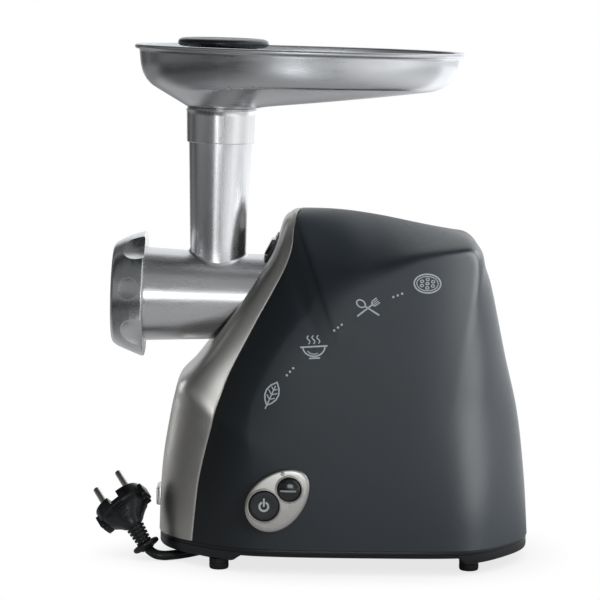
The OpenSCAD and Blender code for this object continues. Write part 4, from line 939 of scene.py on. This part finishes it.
# ------------------------------------------------------------------ auger: a core with a helical flight
def make_auger():
    core = lathe("core", [(4, -55.1), (9.2, -55.1), (9.5, -54.8), (12.5, 38.7), (12.2, 39.0), (4, 39.0)], 96, ALONG, closed=True)
    f0, f1, pitch, n = -52.0, 36.0, 31.0, 420
    i = np.arange(n + 1)
    x = f0 + (f1 - f0) * i / n
    a = 2 * math.pi * (x - f0) / pitch
    e = np.minimum(1, np.minimum(i / 40, (n - i) / 40))
    e = e * e * (3 - 2 * e)
    ro = 9 + (23.3 - 9) * e
    sec = []
    # root fillet, wall, rounded crest
    for q in range(-7, 8):
        t = abs(q) / 7.0
        r = 7.5 + (ro - 7.5) * (1 - t ** 1.6) if q else ro
        w = np.full(n + 1, 1.55) + 1.9 * np.maximum(0, (t - 0.72) / 0.28) ** 2
        if q == 0:
            w = w * 0
        elif abs(q) == 1:
            w = w * 0 + 1.1
        sec.append((x + math.copysign(1, q) * w * (1 if q else 0), r))
    P = np.stack([np.column_stack([sx, r * np.cos(a), r * np.sin(a)]) for sx, r in sec], 1)
    m = P.shape[1]
    v = P.reshape(-1, 3)
    f = [list(q) for q in grid_quads(n + 1, m, False, True)] + [list(range(m)), [n * m + k for k in range(m)][::-1]]
    o = join("auger", [core, raw("flight", v, f, HEAD)])
    piece(o, "auger", M_RING, "auger", ("auger",), sharp=35)
make_auger()

# ------------------------------------------------------------------ tray
RIM_Z, HW_T, REACH, TT, MID, FRONT = 169.0, 68.0, 161.0, 1.4, 62.0, 58.0
def outline(q, g):
    """The oval of the tray less g, at parameter q."""
    c, s = np.cos(q), np.sin(q)
    e = np.where(c < 0, 0.94, 0.87)
    x = MID + np.where(c < 0, -(MID + FRONT - g), REACH - MID - g) * np.abs(c) ** e
    return np.stack([x, np.sign(s) * (HW_T - g) * np.abs(s) ** e], -1)

def make_tray():
    n = 512
    q = np.arange(n) * 2 * math.pi / n
    o = outline(q, np.zeros(n))
    dirn = o / np.linalg.norm(o, axis=1)[:, None]
    c = dirn[:, 0]
    cp = np.maximum(0, c)
    # the wall falls from the lip, turns through a curve and runs on as a sloping floor to the hole
    g = 5 + np.where(c < 0, 1.7 * c, 2.3 * cp ** 12)
    kz = -23.8 - np.where(c < 0, 0.8 * c, 1.2 * cp ** 12)
    turn = 9.5 - 4.5 * np.minimum(1, cp / 0.6) + 11 * cp ** 24
    def p3(v, z):
        return np.column_stack([v, np.broadcast_to(z, (n,))])
    top_ = p3(outline(q, np.full(n, 1.6)), -2.6)
    w = p3(outline(q, 2.4 - 0.5 * cp ** 12), -9.4)
    k = p3(outline(q, g), kz)
    seat = p3(24.6 * dirn, -40.3)
    b = k + (seat - k) * (turn / np.linalg.norm((k - seat)[:, :2], axis=1))[:, None]
    hole = p3(20.6 * dirn, 126.4 - RIM_Z)
    cols = [top_ + (w - top_) * t for t in np.linspace(0, 1, 6)[:-1]]
    cols += [(1 - t) ** 2 * w + 2 * t * (1 - t) * k + t * t * b for t in np.linspace(0, 1, 27)[:-1]]
    cols += [b + (seat - b) * t - np.array([0, 0, 1.0]) * (2.4 * t * (1 - t) * cp)[:, None] for t in np.linspace(0, 1, 21)]
    cols += [seat + (hole - seat) * t for t in (0.35, 0.7, 1.0)]
    O = np.stack(cols, 1)
    O[..., 2] += RIM_Z
    m = O.shape[1]
    for _ in range(4):
        O[:, 2:m - 2] = (O[:, 1:m - 3] + 2 * O[:, 2:m - 2] + O[:, 3:m - 1]) / 4
    # the inside lies one thickness inwards, square to the sheet
    du = np.roll(O, -1, 0) - np.roll(O, 1, 0)
    dv = np.gradient(O, axis=1)
    N = np.cross(du, dv)
    N /= np.linalg.norm(N, axis=2)[..., None]
    N *= np.where((N * np.concatenate([O[..., :2], np.full_like(O[..., :1], -60.0)], 2)).sum(2) > 0, -1, 1)[..., None]
    I = O + N * TT
    # rim: a flat lip that turns over at its edge
    lip_g = [2.9, 2.6, 1.9, 0.8, -0.2, -0.95, -1.35, -1.4, -1.1, -0.6, 0.2, 0.9, 1.4]
    lip_z = [-1.5, -0.7, -0.2, 0.0, -0.05, -0.4, -1.05, -1.8, -2.5, -2.9, -3.1, -3.15, -3.4]
    P = [I[:, j] for j in range(1, m)][::-1] + [p3(outline(q, np.full(n, u_)), RIM_Z + v_) for u_, v_ in zip(lip_g, lip_z)] + [O[:, j] for j in range(1, m)]
    v = np.stack(P, 1)
    o = raw("tray", v.reshape(-1, 3), grid_quads(n, v.shape[1], True, True), HEAD)
    bore = 19 + 0.0351 * 73 + 0.3
    col = lathe("collar", [(bore, 104.6), (bore + 0.35, 104.4), (22.7, 104.4), (23.0, 104.7), (23.05, 105.5), (23.5, 121.6), (23.55, 122.6), (23.6, 124.6), (24.1, 126.2), (23.2, 127.5), (21.2, 127.5), (21.2, 126.2), (bore, 126.2)],
                192, HEAD, closed=True)
    piece(o, "tray", M_TRAY, "tray", ("tray",), sharp=40)
    piece(col, "tray_collar", M_COLLAR, "tray", sharp=40)
make_tray()

def make_pusher():
    n, push_z, top = 240, 129.8, 168.3
    a = np.arange(n) * 2 * math.pi / n
    flute = 0.5 + 0.5 * np.cos(24 * a)
    flute = np.clip(flute * 1.6 - 0.3, 0, 1)
    ri = lambda z: 17 + 0.0351 * (z - 31)
    cols = []
    def ring(r, z, f=0.0):
        rr = r - f * flute
        cols.append(np.stack([rr * np.cos(a), rr * np.sin(a), np.full(n, float(z))], 1))
    ring(ri(30) - 2.6, 30); ring(ri(27) - 2.2, 27.2); ring(ri(27) - 1.0, 27.0); ring(ri(27) - 0.5, 27.3); ring(ri(27.9) - 0.35, 27.9)
    for z in np.linspace(35, push_z - 0.6, 8):
        ring(ri(z) - 0.35, z)
    ring(ri(push_z) - 0.4, push_z - 0.3)
    ring(22.2, push_z - 0.0); ring(22.7, push_z + 0.15); ring(23.0, push_z + 0.6); ring(23.0, push_z + 2.0)
    ring(23.0, push_z + 3.0, 0.9); ring(23.0, top - 4.0, 0.9); ring(23.0, top - 3.2); ring(23.0, top); ring(ri(top) - 4.0, top)
    ring(ri(push_z) - 2.6, push_z)
    v = np.stack(cols, 1)
    o = raw("pusher", v.reshape(-1, 3), grid_quads(n, len(cols), True, True), HEAD)
    piece(o, "pusher_body", M_PUSH, "pusher", ("pusher_body",), sharp=32)
    z0 = top
    pr = [(0, z0), (27.6, z0), (29.0, z0 + 0.35), (30.0, z0 + 1.1), (30.45, z0 + 2.1), (30.5, z0 + 2.9), (30.25, z0 + 3.8), (29.6, z0 + 4.6), (28.6, z0 + 5.2), (27.2, z0 + 5.6),
          (25.2, z0 + 5.85), (23.4, z0 + 5.95), (21.8, z0 + 5.8), (20.6, z0 + 5.45), (19.6, z0 + 5.3), (0, z0 + 5.3)]
    o = lathe("cap", pr, 192, HEAD)
    piece(o, "pusher_cap", M_PUSH, "pusher", ("pusher_cap",), sharp=30)
make_pusher()

# ------------------------------------------------------------------ gland, tie and plug
YUP = Matrix.Translation((60, 0, 24)) @ Matrix.Rotation(-math.pi / 2, 4, "X")
def make_gland():
    pr = [(0, 70), (6.9, 70), (7, 70.1), (7, 74), (5, 74), (5, 78.4), (7.3, 78.4), (7.5, 78.7), (7.5, 80.1), (7.1, 80.6), (6.2, 80.8)]
    r0, r1, z0, z1 = 5.8, 4.2, 81.2, 107.4
    k = 7
    for i in range(k):
        za, zb = lerp(z0, z1, i / k), lerp(z0, z1, (i + 1) / k)
        ra, rb_ = lerp(r0, r1, i / k), lerp(r0, r1, (i + 1) / k)
        pr += [(ra, za + 0.1), (ra, za + 0.6 * (zb - za)), (ra - 0.25, za + 0.68 * (zb - za)), (ra - 0.9, za + 0.74 * (zb - za)), (ra - 0.9, za + 0.92 * (zb - za))]
    pr += [(4.2, 107.2), (4.0, 107.9), (3.4, 108.0), (0, 108.0)]
    piece(lathe("gland", pr, 72, YUP), "cord_gland", M_CORD, "root", ("cord_gland",), sharp=35)
make_gland()

def make_tie():
    rings = []
    for y, g in ((0.0, -0.35), (0.3, -0.05), (0.8, 0.0), (7.2, 0.0), (7.7, -0.05), (8.0, -0.35)):
        pts_ = []
        n = 96
        for i in range(n):
            t = 2 * math.pi * i / n
            ex = 4.2
            cx, cz = math.cos(t), math.sin(t)
            k = (abs(cx / (7.9 + g)) ** ex + abs(cz / (7.2 + g)) ** ex) ** (-1 / ex)
            pts_.append((k * cx, y, 7.2 + k * cz))
        rings.append(pts_)
    inn = []
    for y in (7.9, 0.1):
        pts_ = []
        for i in range(96):
            t = 2 * math.pi * i / 96
            ex = 4.2
            cx, cz = math.cos(t), math.sin(t)
            k = (abs(cx / 6.85) ** ex + abs(cz / 6.6) ** ex) ** (-1 / ex)
            pts_.append((k * cx, y, 6.9 + k * cz))
        inn.append(pts_)
    R = np.array(rings + inn, float)
    fr = Matrix.Translation((24, 103, 0)) @ Matrix.Rotation(math.radians(-45), 4, "Z") @ Matrix.Translation((1.5, -4, 0))
    o = raw("tie", R.reshape(-1, 3), grid_quads(len(R), 96, True, True), fr)
    piece(o, "cord_tie", M_CORD, "root", ("cord_tie",), sharp=35)
make_tie()

def superell(a_, b_, z, ex=3.0, n=128, cx=0.0, cy=0.0):
    t = np.arange(n) * 2 * math.pi / n
    c, s = np.cos(t), np.sin(t)
    k = (np.abs(c / a_) ** ex + np.abs(s / b_) ** ex) ** (-1 / ex)
    return np.column_stack([cx + k * c, cy + k * s, np.full(n, float(z))])

def make_plug():
    R = []
    sec = [(-0.0, 16.4, 11.4), (-0.15, 17.1, 12.1), (-0.6, 17.6, 12.6), (-1.2, 17.8, 12.8), (-8.2, 17.8, 12.8), (-8.8, 17.6, 12.65), (-9.1, 17.1, 12.3),
           (-9.4, 16.5, 11.9), (-9.9, 16.4, 11.7), (-12.0, 15.9, 11.4), (-13.6, 15.0, 10.9), (-15.2, 13.4, 10.2), (-16.8, 11.6, 9.3), (-18.6, 9.8, 8.4), (-20.6, 8.2, 7.4)]
    for z, a_, b_ in sec:
        R.append(superell(a_, b_, z, 2.7 if z > -14 else 2.35))
    fr = PLUG
    body = None
    pw = [moved(r, fr) for r in R]
    # bend smoothly into the neck
    d = (RIM_C - NECK_C).normalized()
    q = Vector((0, 0, 1)).rotation_difference(d).to_matrix().to_4x4()
    neck = Matrix.Translation(NECK_C) @ q
    xw = (PLUG.to_3x3() @ Vector((1, 0, 0)))
    # the neck's rings start in line with the plug's
    ni = neck.inverted().to_3x3() @ xw
    turn = math.atan2(ni.y, ni.x)
    neck_al = neck @ Matrix.Rotation(turn, 4, "Z")
    flipped = neck_al @ Matrix.Rotation(math.pi, 4, "X")
    for z, r in ((1.0, 7.0), (2.6, 6.2)):
        pw.append(moved(superell(r, r * 0.96, -z, 2.1), flipped))
    body = loft("plug", np.array(pw))
    k, z0, z1 = 5, 2.6, 16.0
    pr = [(0, 0.5), (5.0, 0.5)]
    for i in range(k):
        za, zb = lerp(z0, z1, i / k), lerp(z0, z1, (i + 1) / k)
        ra = lerp(6.3, 5.3, i / (k - 1))
        pr += [(ra - 1.25, za), (ra - 1.25, za + 0.7), (ra - 0.2, za + 0.95), (ra, za + 1.3), (ra, zb - 0.35), (ra - 0.2, zb - 0.05)]
    pr += [(4.2, z1), (4.4, 16.4), (7.6, 16.2), (8.8, 16.5), (9.35, 17.2), (9.5, 18.0), (9.3, 18.8), (8.6, 19.5), (7.4, 19.9), (5.2, 20.2), (4.4, 20.9), (3.6, 21.2), (0, 21.2)]
    nk = lathe("neck", pr, 96, neck)
    # notches for the earth clips, wider on the near side
    boolean(body, box_obj((-3.7, -20, -6.6), (3.7, -4.6, 6), PLUG))
    boolean(body, box_obj((-3.0, 8.2, -6), (3.0, 20, 6), PLUG))
    for s in (-1, 1):
        boolean(body, cyl(1.98, -6, 6, PLUG @ Matrix.Translation((s * 9.5, 0, 0)), 32))
    # pads on the narrow sides
    for s in (-1, 1):
        boolean(body, box_obj((s * 17.6 - 1.9, -5.2, -11.6), (s * 17.6 + 1.9, 5.2, -2.4), PLUG, 0.9), "UNION")
        boolean(body, box_obj((s * 16.2 - 2.4, -4.4, -14.6), (s * 16.2 + 2.2, 4.4, -10.4), PLUG, 0.9), "UNION")
    edge_round(body, 0.3, 2, 50)
    # grip lines on both flat sides
    bars = []
    for s in (-1, 1):
        for i in range(5):
            z = -9.8 - 1.75 * i
            b_ = np.interp(-z, [9.4, 12.0, 13.6, 15.2, 16.8, 18.6], [11.8, 11.4, 10.9, 10.2, 9.3, 8.4])
            wdt = 4.6 - 0.25 * i
            bars.append(box_obj((-wdt, s * b_ - 0.75, z - 0.36), (wdt, s * b_ + 0.42, z + 0.36), PLUG, 0.3))
    o = join("plug_body", [body, nk] + bars)
    piece(o, "plug_body", M_PLUG, "root", ("plug_body",), sharp=38)
    pins = []
    for s in (-1, 1):
        pins.append(lathe("pin", [(0, -5.9), (1.9, -5.9), (1.9, 0.3), (2.4, 0.3), (2.4, 18.1), (2.25, 18.5), (1.9, 18.8), (1.3, 18.96), (0, 19.0)], 48, PLUG @ Matrix.Translation((s * 9.5, 0, 0))))
    piece(join("plug_pins", pins), "plug_pins", M_PIN, "root", ("plug_pins",), sharp=40)
make_plug()
cord.data.materials.append(M_CORD)
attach(cord, "root")
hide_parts("cord_lead", "cord_coil", "cord_run")

# ------------------------------------------------------------------ inner pieces keep their modelled shape
M_DARK = plastic("inner_plastic", (0.03, 0.032, 0.035), rough=0.5, spread=0.06, mottle=0.12)
M_GEARBOX = plastic("gearbox_plastic", (0.045, 0.048, 0.052), rough=0.45, spread=0.06, mottle=0.12)
M_NYLON = plastic("gear_nylon", (0.58, 0.54, 0.45), rough=0.4, spread=0.06, mottle=0.06)
M_WASHER = plastic("washer_nylon", (0.70, 0.68, 0.62), rough=0.4, spread=0.05, mottle=0.05)
M_IRON = metal("lamination_steel", (0.30, 0.31, 0.33), rough=0.38, spread=0.06, stretch=(6, 1, 1), lines=900, depth=0.2)
M_COPPER = metal("copper_winding", (0.60, 0.26, 0.11), rough=0.32, spread=0.06, stretch=(1, 1, 5), lines=900, depth=0.3)
M_BRONZE = metal("bronze", (0.56, 0.38, 0.18), rough=0.36, spread=0.06, lines=1200, depth=0.1)
M_CARBON = plastic("carbon", (0.02, 0.02, 0.022), rough=0.45, spread=0.08, mottle=0.2)
INNER = {
    "foot_screws": M_STEEL, "power_switch": M_DARK, "reverse_switch": M_DARK, "auger_shank": M_STEEL, "auger_washer": M_WASHER, "knife": M_STEEL,
    "drive_coupling": M_STEEL, "output_gear": M_NYLON, "output_bushing": M_BRONZE, "intermediate_gear": M_NYLON, "intermediate_shaft": M_STEEL,
    "intermediate_bushings": M_BRONZE, "gearbox_housing": M_GEARBOX, "gearbox_cover": M_GEARBOX, "gearbox_screws": M_STEEL, "motor_stator": M_IRON,
    "field_coils": M_COPPER, "rotor": M_IRON, "commutator": M_COPPER, "cooling_fan": M_DARK, "motor_bearings": M_STEEL, "motor_bracket": M_IRON,
    "carbon_brushes": M_CARBON, "brush_holders": M_BRONZE, "motor_cradle": M_DARK, "cord_clamp": M_DARK}
for name_, mat_ in INNER.items():
    o_ = frame["nodes"][name_]
    o_.data.materials.clear()
    o_.data.materials.append(mat_)

# ------------------------------------------------------------------ surroundings
def window(nt, value, a, b, soft):
    """1 between a and b, falling to 0 over soft on each side."""
    return math_node(nt, "MULTIPLY", smooth_in(nt, value, a - soft, a), math_node(nt, "SUBTRACT", 1.0, smooth_in(nt, value, b, b + soft)))

def add_up(nt, terms):
    s = terms[0]
    for t in terms[1:]:
        s = math_node(nt, "ADD", s, t)
    return s

def angles(nt, vec):
    sep = nt.nodes.new("ShaderNodeSeparateXYZ")
    nt.links.new(vec, sep.inputs[0])
    x, y, z = sep.outputs
    negy = math_node(nt, "MULTIPLY", y, -1.0)
    deg = 180 / math.pi
    az = math_node(nt, "MULTIPLY", math_node(nt, "ARCTAN2", x, negy), deg)
    el = math_node(nt, "MULTIPLY", math_node(nt, "ARCSINE", z), deg)
    aaz = math_node(nt, "ABSOLUTE", az)
    return az, aaz, el

def make_world():
    w = bpy.data.worlds.new("studio")
    scene.world = w
    w.use_nodes = True
    nt = w.node_tree
    nt.nodes.clear()
    tc = nt.nodes.new("ShaderNodeTexCoord")
    az, aaz, el = angles(nt, tc.outputs["Generated"])
    def lobe(v, a0, a1, sa, e0, e1, se, L):
        t = math_node(nt, "MULTIPLY", window(nt, v, a0, a1, sa), window(nt, el, e0, e1, se))
        return math_node(nt, "MULTIPLY", t, L)
    terms = [math_node(nt, "MULTIPLY", window(nt, el, -90, 90, 1), 0.22)]
    terms.append(lobe(el, 62, 90, 12, 62, 90, 12, -0.05))
    terms.append(lobe(aaz, -1, 120, 20, 22, 52, 10, 0.09))
    terms.append(lobe(az, -9, 3, 5, 0, 9, 5, 4.3))
    terms.append(lobe(az, 16, 50, 8, -30, 45, 8, 0.22))          # strip beside the camera
    terms.append(lobe(az, 50, 160, 9, -40, 50, 9, 0.90))       # large box on the right
    terms.append(lobe(az, -78, -20, 8, -20, 45, 10, 0.05))
    terms.append(lobe(az, -123, -117, 3, -20, 60, 8, 0.14))    # thin strip on the left
    terms.append(lobe(az, -160, -96, 5, -20, 60, 8, -0.13))    # flag
    terms.append(lobe(aaz, 160, 181, 8, -30, 54, 10, 0.80))    # backdrop
    terms.append(lobe(az, -115, -28, 8, 24, 75, 10, -0.21))   # the room is dark up on the left
    tot = math_node(nt, "MAXIMUM", add_up(nt, terms), 0.02)
    bg = nt.nodes.new("ShaderNodeBackground")
    bg.inputs["Color"].default_value = (0.96, 0.985, 1.0, 1)
    nt.links.new(tot, bg.inputs["Strength"])
    white = nt.nodes.new("ShaderNodeBackground")
    white.inputs["Color"].default_value = (1, 1, 1, 1)
    white.inputs["Strength"].default_value = 1.0
    lp = nt.nodes.new("ShaderNodeLightPath")
    mix = nt.nodes.new("ShaderNodeMixShader")
    nt.links.new(lp.outputs["Is Camera Ray"], mix.inputs[0])
    nt.links.new(bg.outputs[0], mix.inputs[1])
    nt.links.new(white.outputs[0], mix.inputs[2])
    out = nt.nodes.new("ShaderNodeOutputWorld")
    nt.links.new(mix.outputs[0], out.inputs[0])
make_world()

# The floor glows instead of being lit: the camera sees it white with a painted contact shadow, and reflections see
# painted pools of light and shade.
def make_floor():
    s = 1.6
    me = bpy.data.meshes.new("floor")
    me.from_pydata([(-s, -s, 0), (s, -s, 0), (s, s, 0), (-s, s, 0)], [], [(0, 1, 2, 3)])
    o = link("floor", me)
    m = bpy.data.materials.new("floor_painted_glow")
    m.use_nodes = True
    nt = m.node_tree
    nt.nodes.clear()
    tc = nt.nodes.new("ShaderNodeTexCoord")
    sep = nt.nodes.new("ShaderNodeSeparateXYZ")
    nt.links.new(tc.outputs["Object"], sep.inputs[0])
    x, y, z = sep.outputs
    az = math_node(nt, "MULTIPLY", math_node(nt, "ARCTAN2", x, math_node(nt, "MULTIPLY", y, -1.0)), 180 / math.pi)
    aaz = math_node(nt, "ABSOLUTE", az)
    r = math_node(nt, "SQRT", math_node(nt, "ADD", math_node(nt, "MULTIPLY", x, x), math_node(nt, "MULTIPLY", y, y)))
    # painted light: as reflections see it, the floor's glow is painted brighter in a ring round the machine, far out in
    # front on the right, to the right, and behind on the right
    near = window(nt, r, 0.1, 0.52, 0.12)
    far_right_painted_light = math_node(nt, "MULTIPLY", smooth_in(nt, x, -0.02, 0.22), smooth_in(nt, math_node(nt, "MULTIPLY", y, -1.0), 0.38, 0.75))
    terms = [math_node(nt, "MULTIPLY", window(nt, r, -1, 9, 0.1), 0.15),
             math_node(nt, "MULTIPLY", near, 0.27),
             math_node(nt, "MULTIPLY", far_right_painted_light, 0.75),
             math_node(nt, "MULTIPLY", smooth_in(nt, x, 0.12, 0.5), 0.60),
             math_node(nt, "MULTIPLY", smooth_in(nt, y, 0.06, 0.22), remap(nt, smooth_in(nt, x, 0.0, 0.28), 0.14, 0.80))]
    # painted shade: the glow is painted darker to the left of the machine, except behind it
    left = math_node(nt, "MULTIPLY", smooth_in(nt, math_node(nt, "MULTIPLY", x, -1.0), 0.15, 0.34), math_node(nt, "SUBTRACT", 1.0, smooth_in(nt, y, 0.0, 0.2)))
    tot = math_node(nt, "MULTIPLY", add_up(nt, terms), math_node(nt, "SUBTRACT", 1.0, math_node(nt, "MULTIPLY", left, 0.68)))
    # painted contact shadow: ambient occlusion dims the floor's glow near the machine, both as the camera sees it and
    # in reflections
    ao = nt.nodes.new("ShaderNodeAmbientOcclusion")
    ao.samples = 12
    ao.inputs["Distance"].default_value = 0.05
    shade = remap(nt, ao.outputs["AO"], 0.78, 1.0, 0.1, 0.9)
    camera_glow_with_painted_shadow = nt.nodes.new("ShaderNodeEmission")
    camera_glow_with_painted_shadow.inputs["Color"].default_value = (1, 1, 1, 1)
    nt.links.new(shade, camera_glow_with_painted_shadow.inputs["Strength"])
    reflected_painted_glow = nt.nodes.new("ShaderNodeEmission")
    reflected_painted_glow.inputs["Color"].default_value = (0.97, 0.985, 1.0, 1)
    nt.links.new(math_node(nt, "MULTIPLY", tot, ao.outputs["AO"]), reflected_painted_glow.inputs["Strength"])
    lp = nt.nodes.new("ShaderNodeLightPath")
    mix = nt.nodes.new("ShaderNodeMixShader")
    nt.links.new(lp.outputs["Is Camera Ray"], mix.inputs[0])
    nt.links.new(reflected_painted_glow.outputs[0], mix.inputs[1])
    nt.links.new(camera_glow_with_painted_shadow.outputs[0], mix.inputs[2])
    out = nt.nodes.new("ShaderNodeOutputMaterial")
    nt.links.new(mix.outputs[0], out.inputs[0])
    me.materials.append(m)
make_floor()

def make_lamp(name, az, el, dist, size, power, targets, lying=None):
    """A soft box that lights only the pieces named. lying = (x, y, turn) lays it on the floor, facing up."""
    d = bpy.data.lights.new(name, "AREA")
    d.shape = "RECTANGLE"
    d.size, d.size_y = size
    d.energy = power
    d.color = (0.96, 0.985, 1.0)
    o = bpy.data.objects.new(name, d)
    scene.collection.objects.link(o)
    a, e = math.radians(az), math.radians(el)
    at = Vector((0, 0, 0.13))
    way = Vector((math.sin(a) * math.cos(e), -math.cos(a) * math.cos(e), math.sin(e)))
    o.location = at + way * dist
    o.rotation_mode = "QUATERNION"
    o.rotation_quaternion = (-way).to_track_quat("-Z", "Y")
    if lying:
        o.location = Vector((lying[0], lying[1], 0.004))
        o.rotation_quaternion = (Matrix.Rotation(math.radians(lying[2]), 3, "Z") @ Matrix.Rotation(math.pi, 3, "X")).to_quaternion()
    o.visible_camera = False
    group = bpy.data.collections.new(name + "_targets")
    for t in targets:
        group.objects.link(bpy.data.objects[t])
    o.light_linking.receiver_collection = group
make_lamp("side_box", 58, 18, 1.5, (1.2, 1.0), 56.0, ("shell_left_surface", "shell_right_surface"))
make_lamp("rear_box", 114, 26, 1.5, (1.0, 0.7), 17.0, ("shell_left_surface", "shell_right_surface"))
make_lamp("tube_box", -16, -2, 1.5, (0.22, 0.2), 0.5, ("head_casting_surface", "tray_collar"))
make_lamp("front_box", -44, 0, 1.5, (0.28, 0.9), 4.2, ("front_bezel_surface",))
make_lamp("edge_box", -128, 0, 1.5, (0.3, 0.9), 3.5, ("front_bezel_surface",))
make_lamp("tray_strip", 0, 0, 1, (0.12, 0.75), 0.75, ("tray_surface",), lying=(-0.145, -0.96, -8))
make_lamp("ring_strip", 0, 0, 1, (0.2, 0.36), 0.10, ("ring_nut_surface",), lying=(-0.15, -0.34, 0))
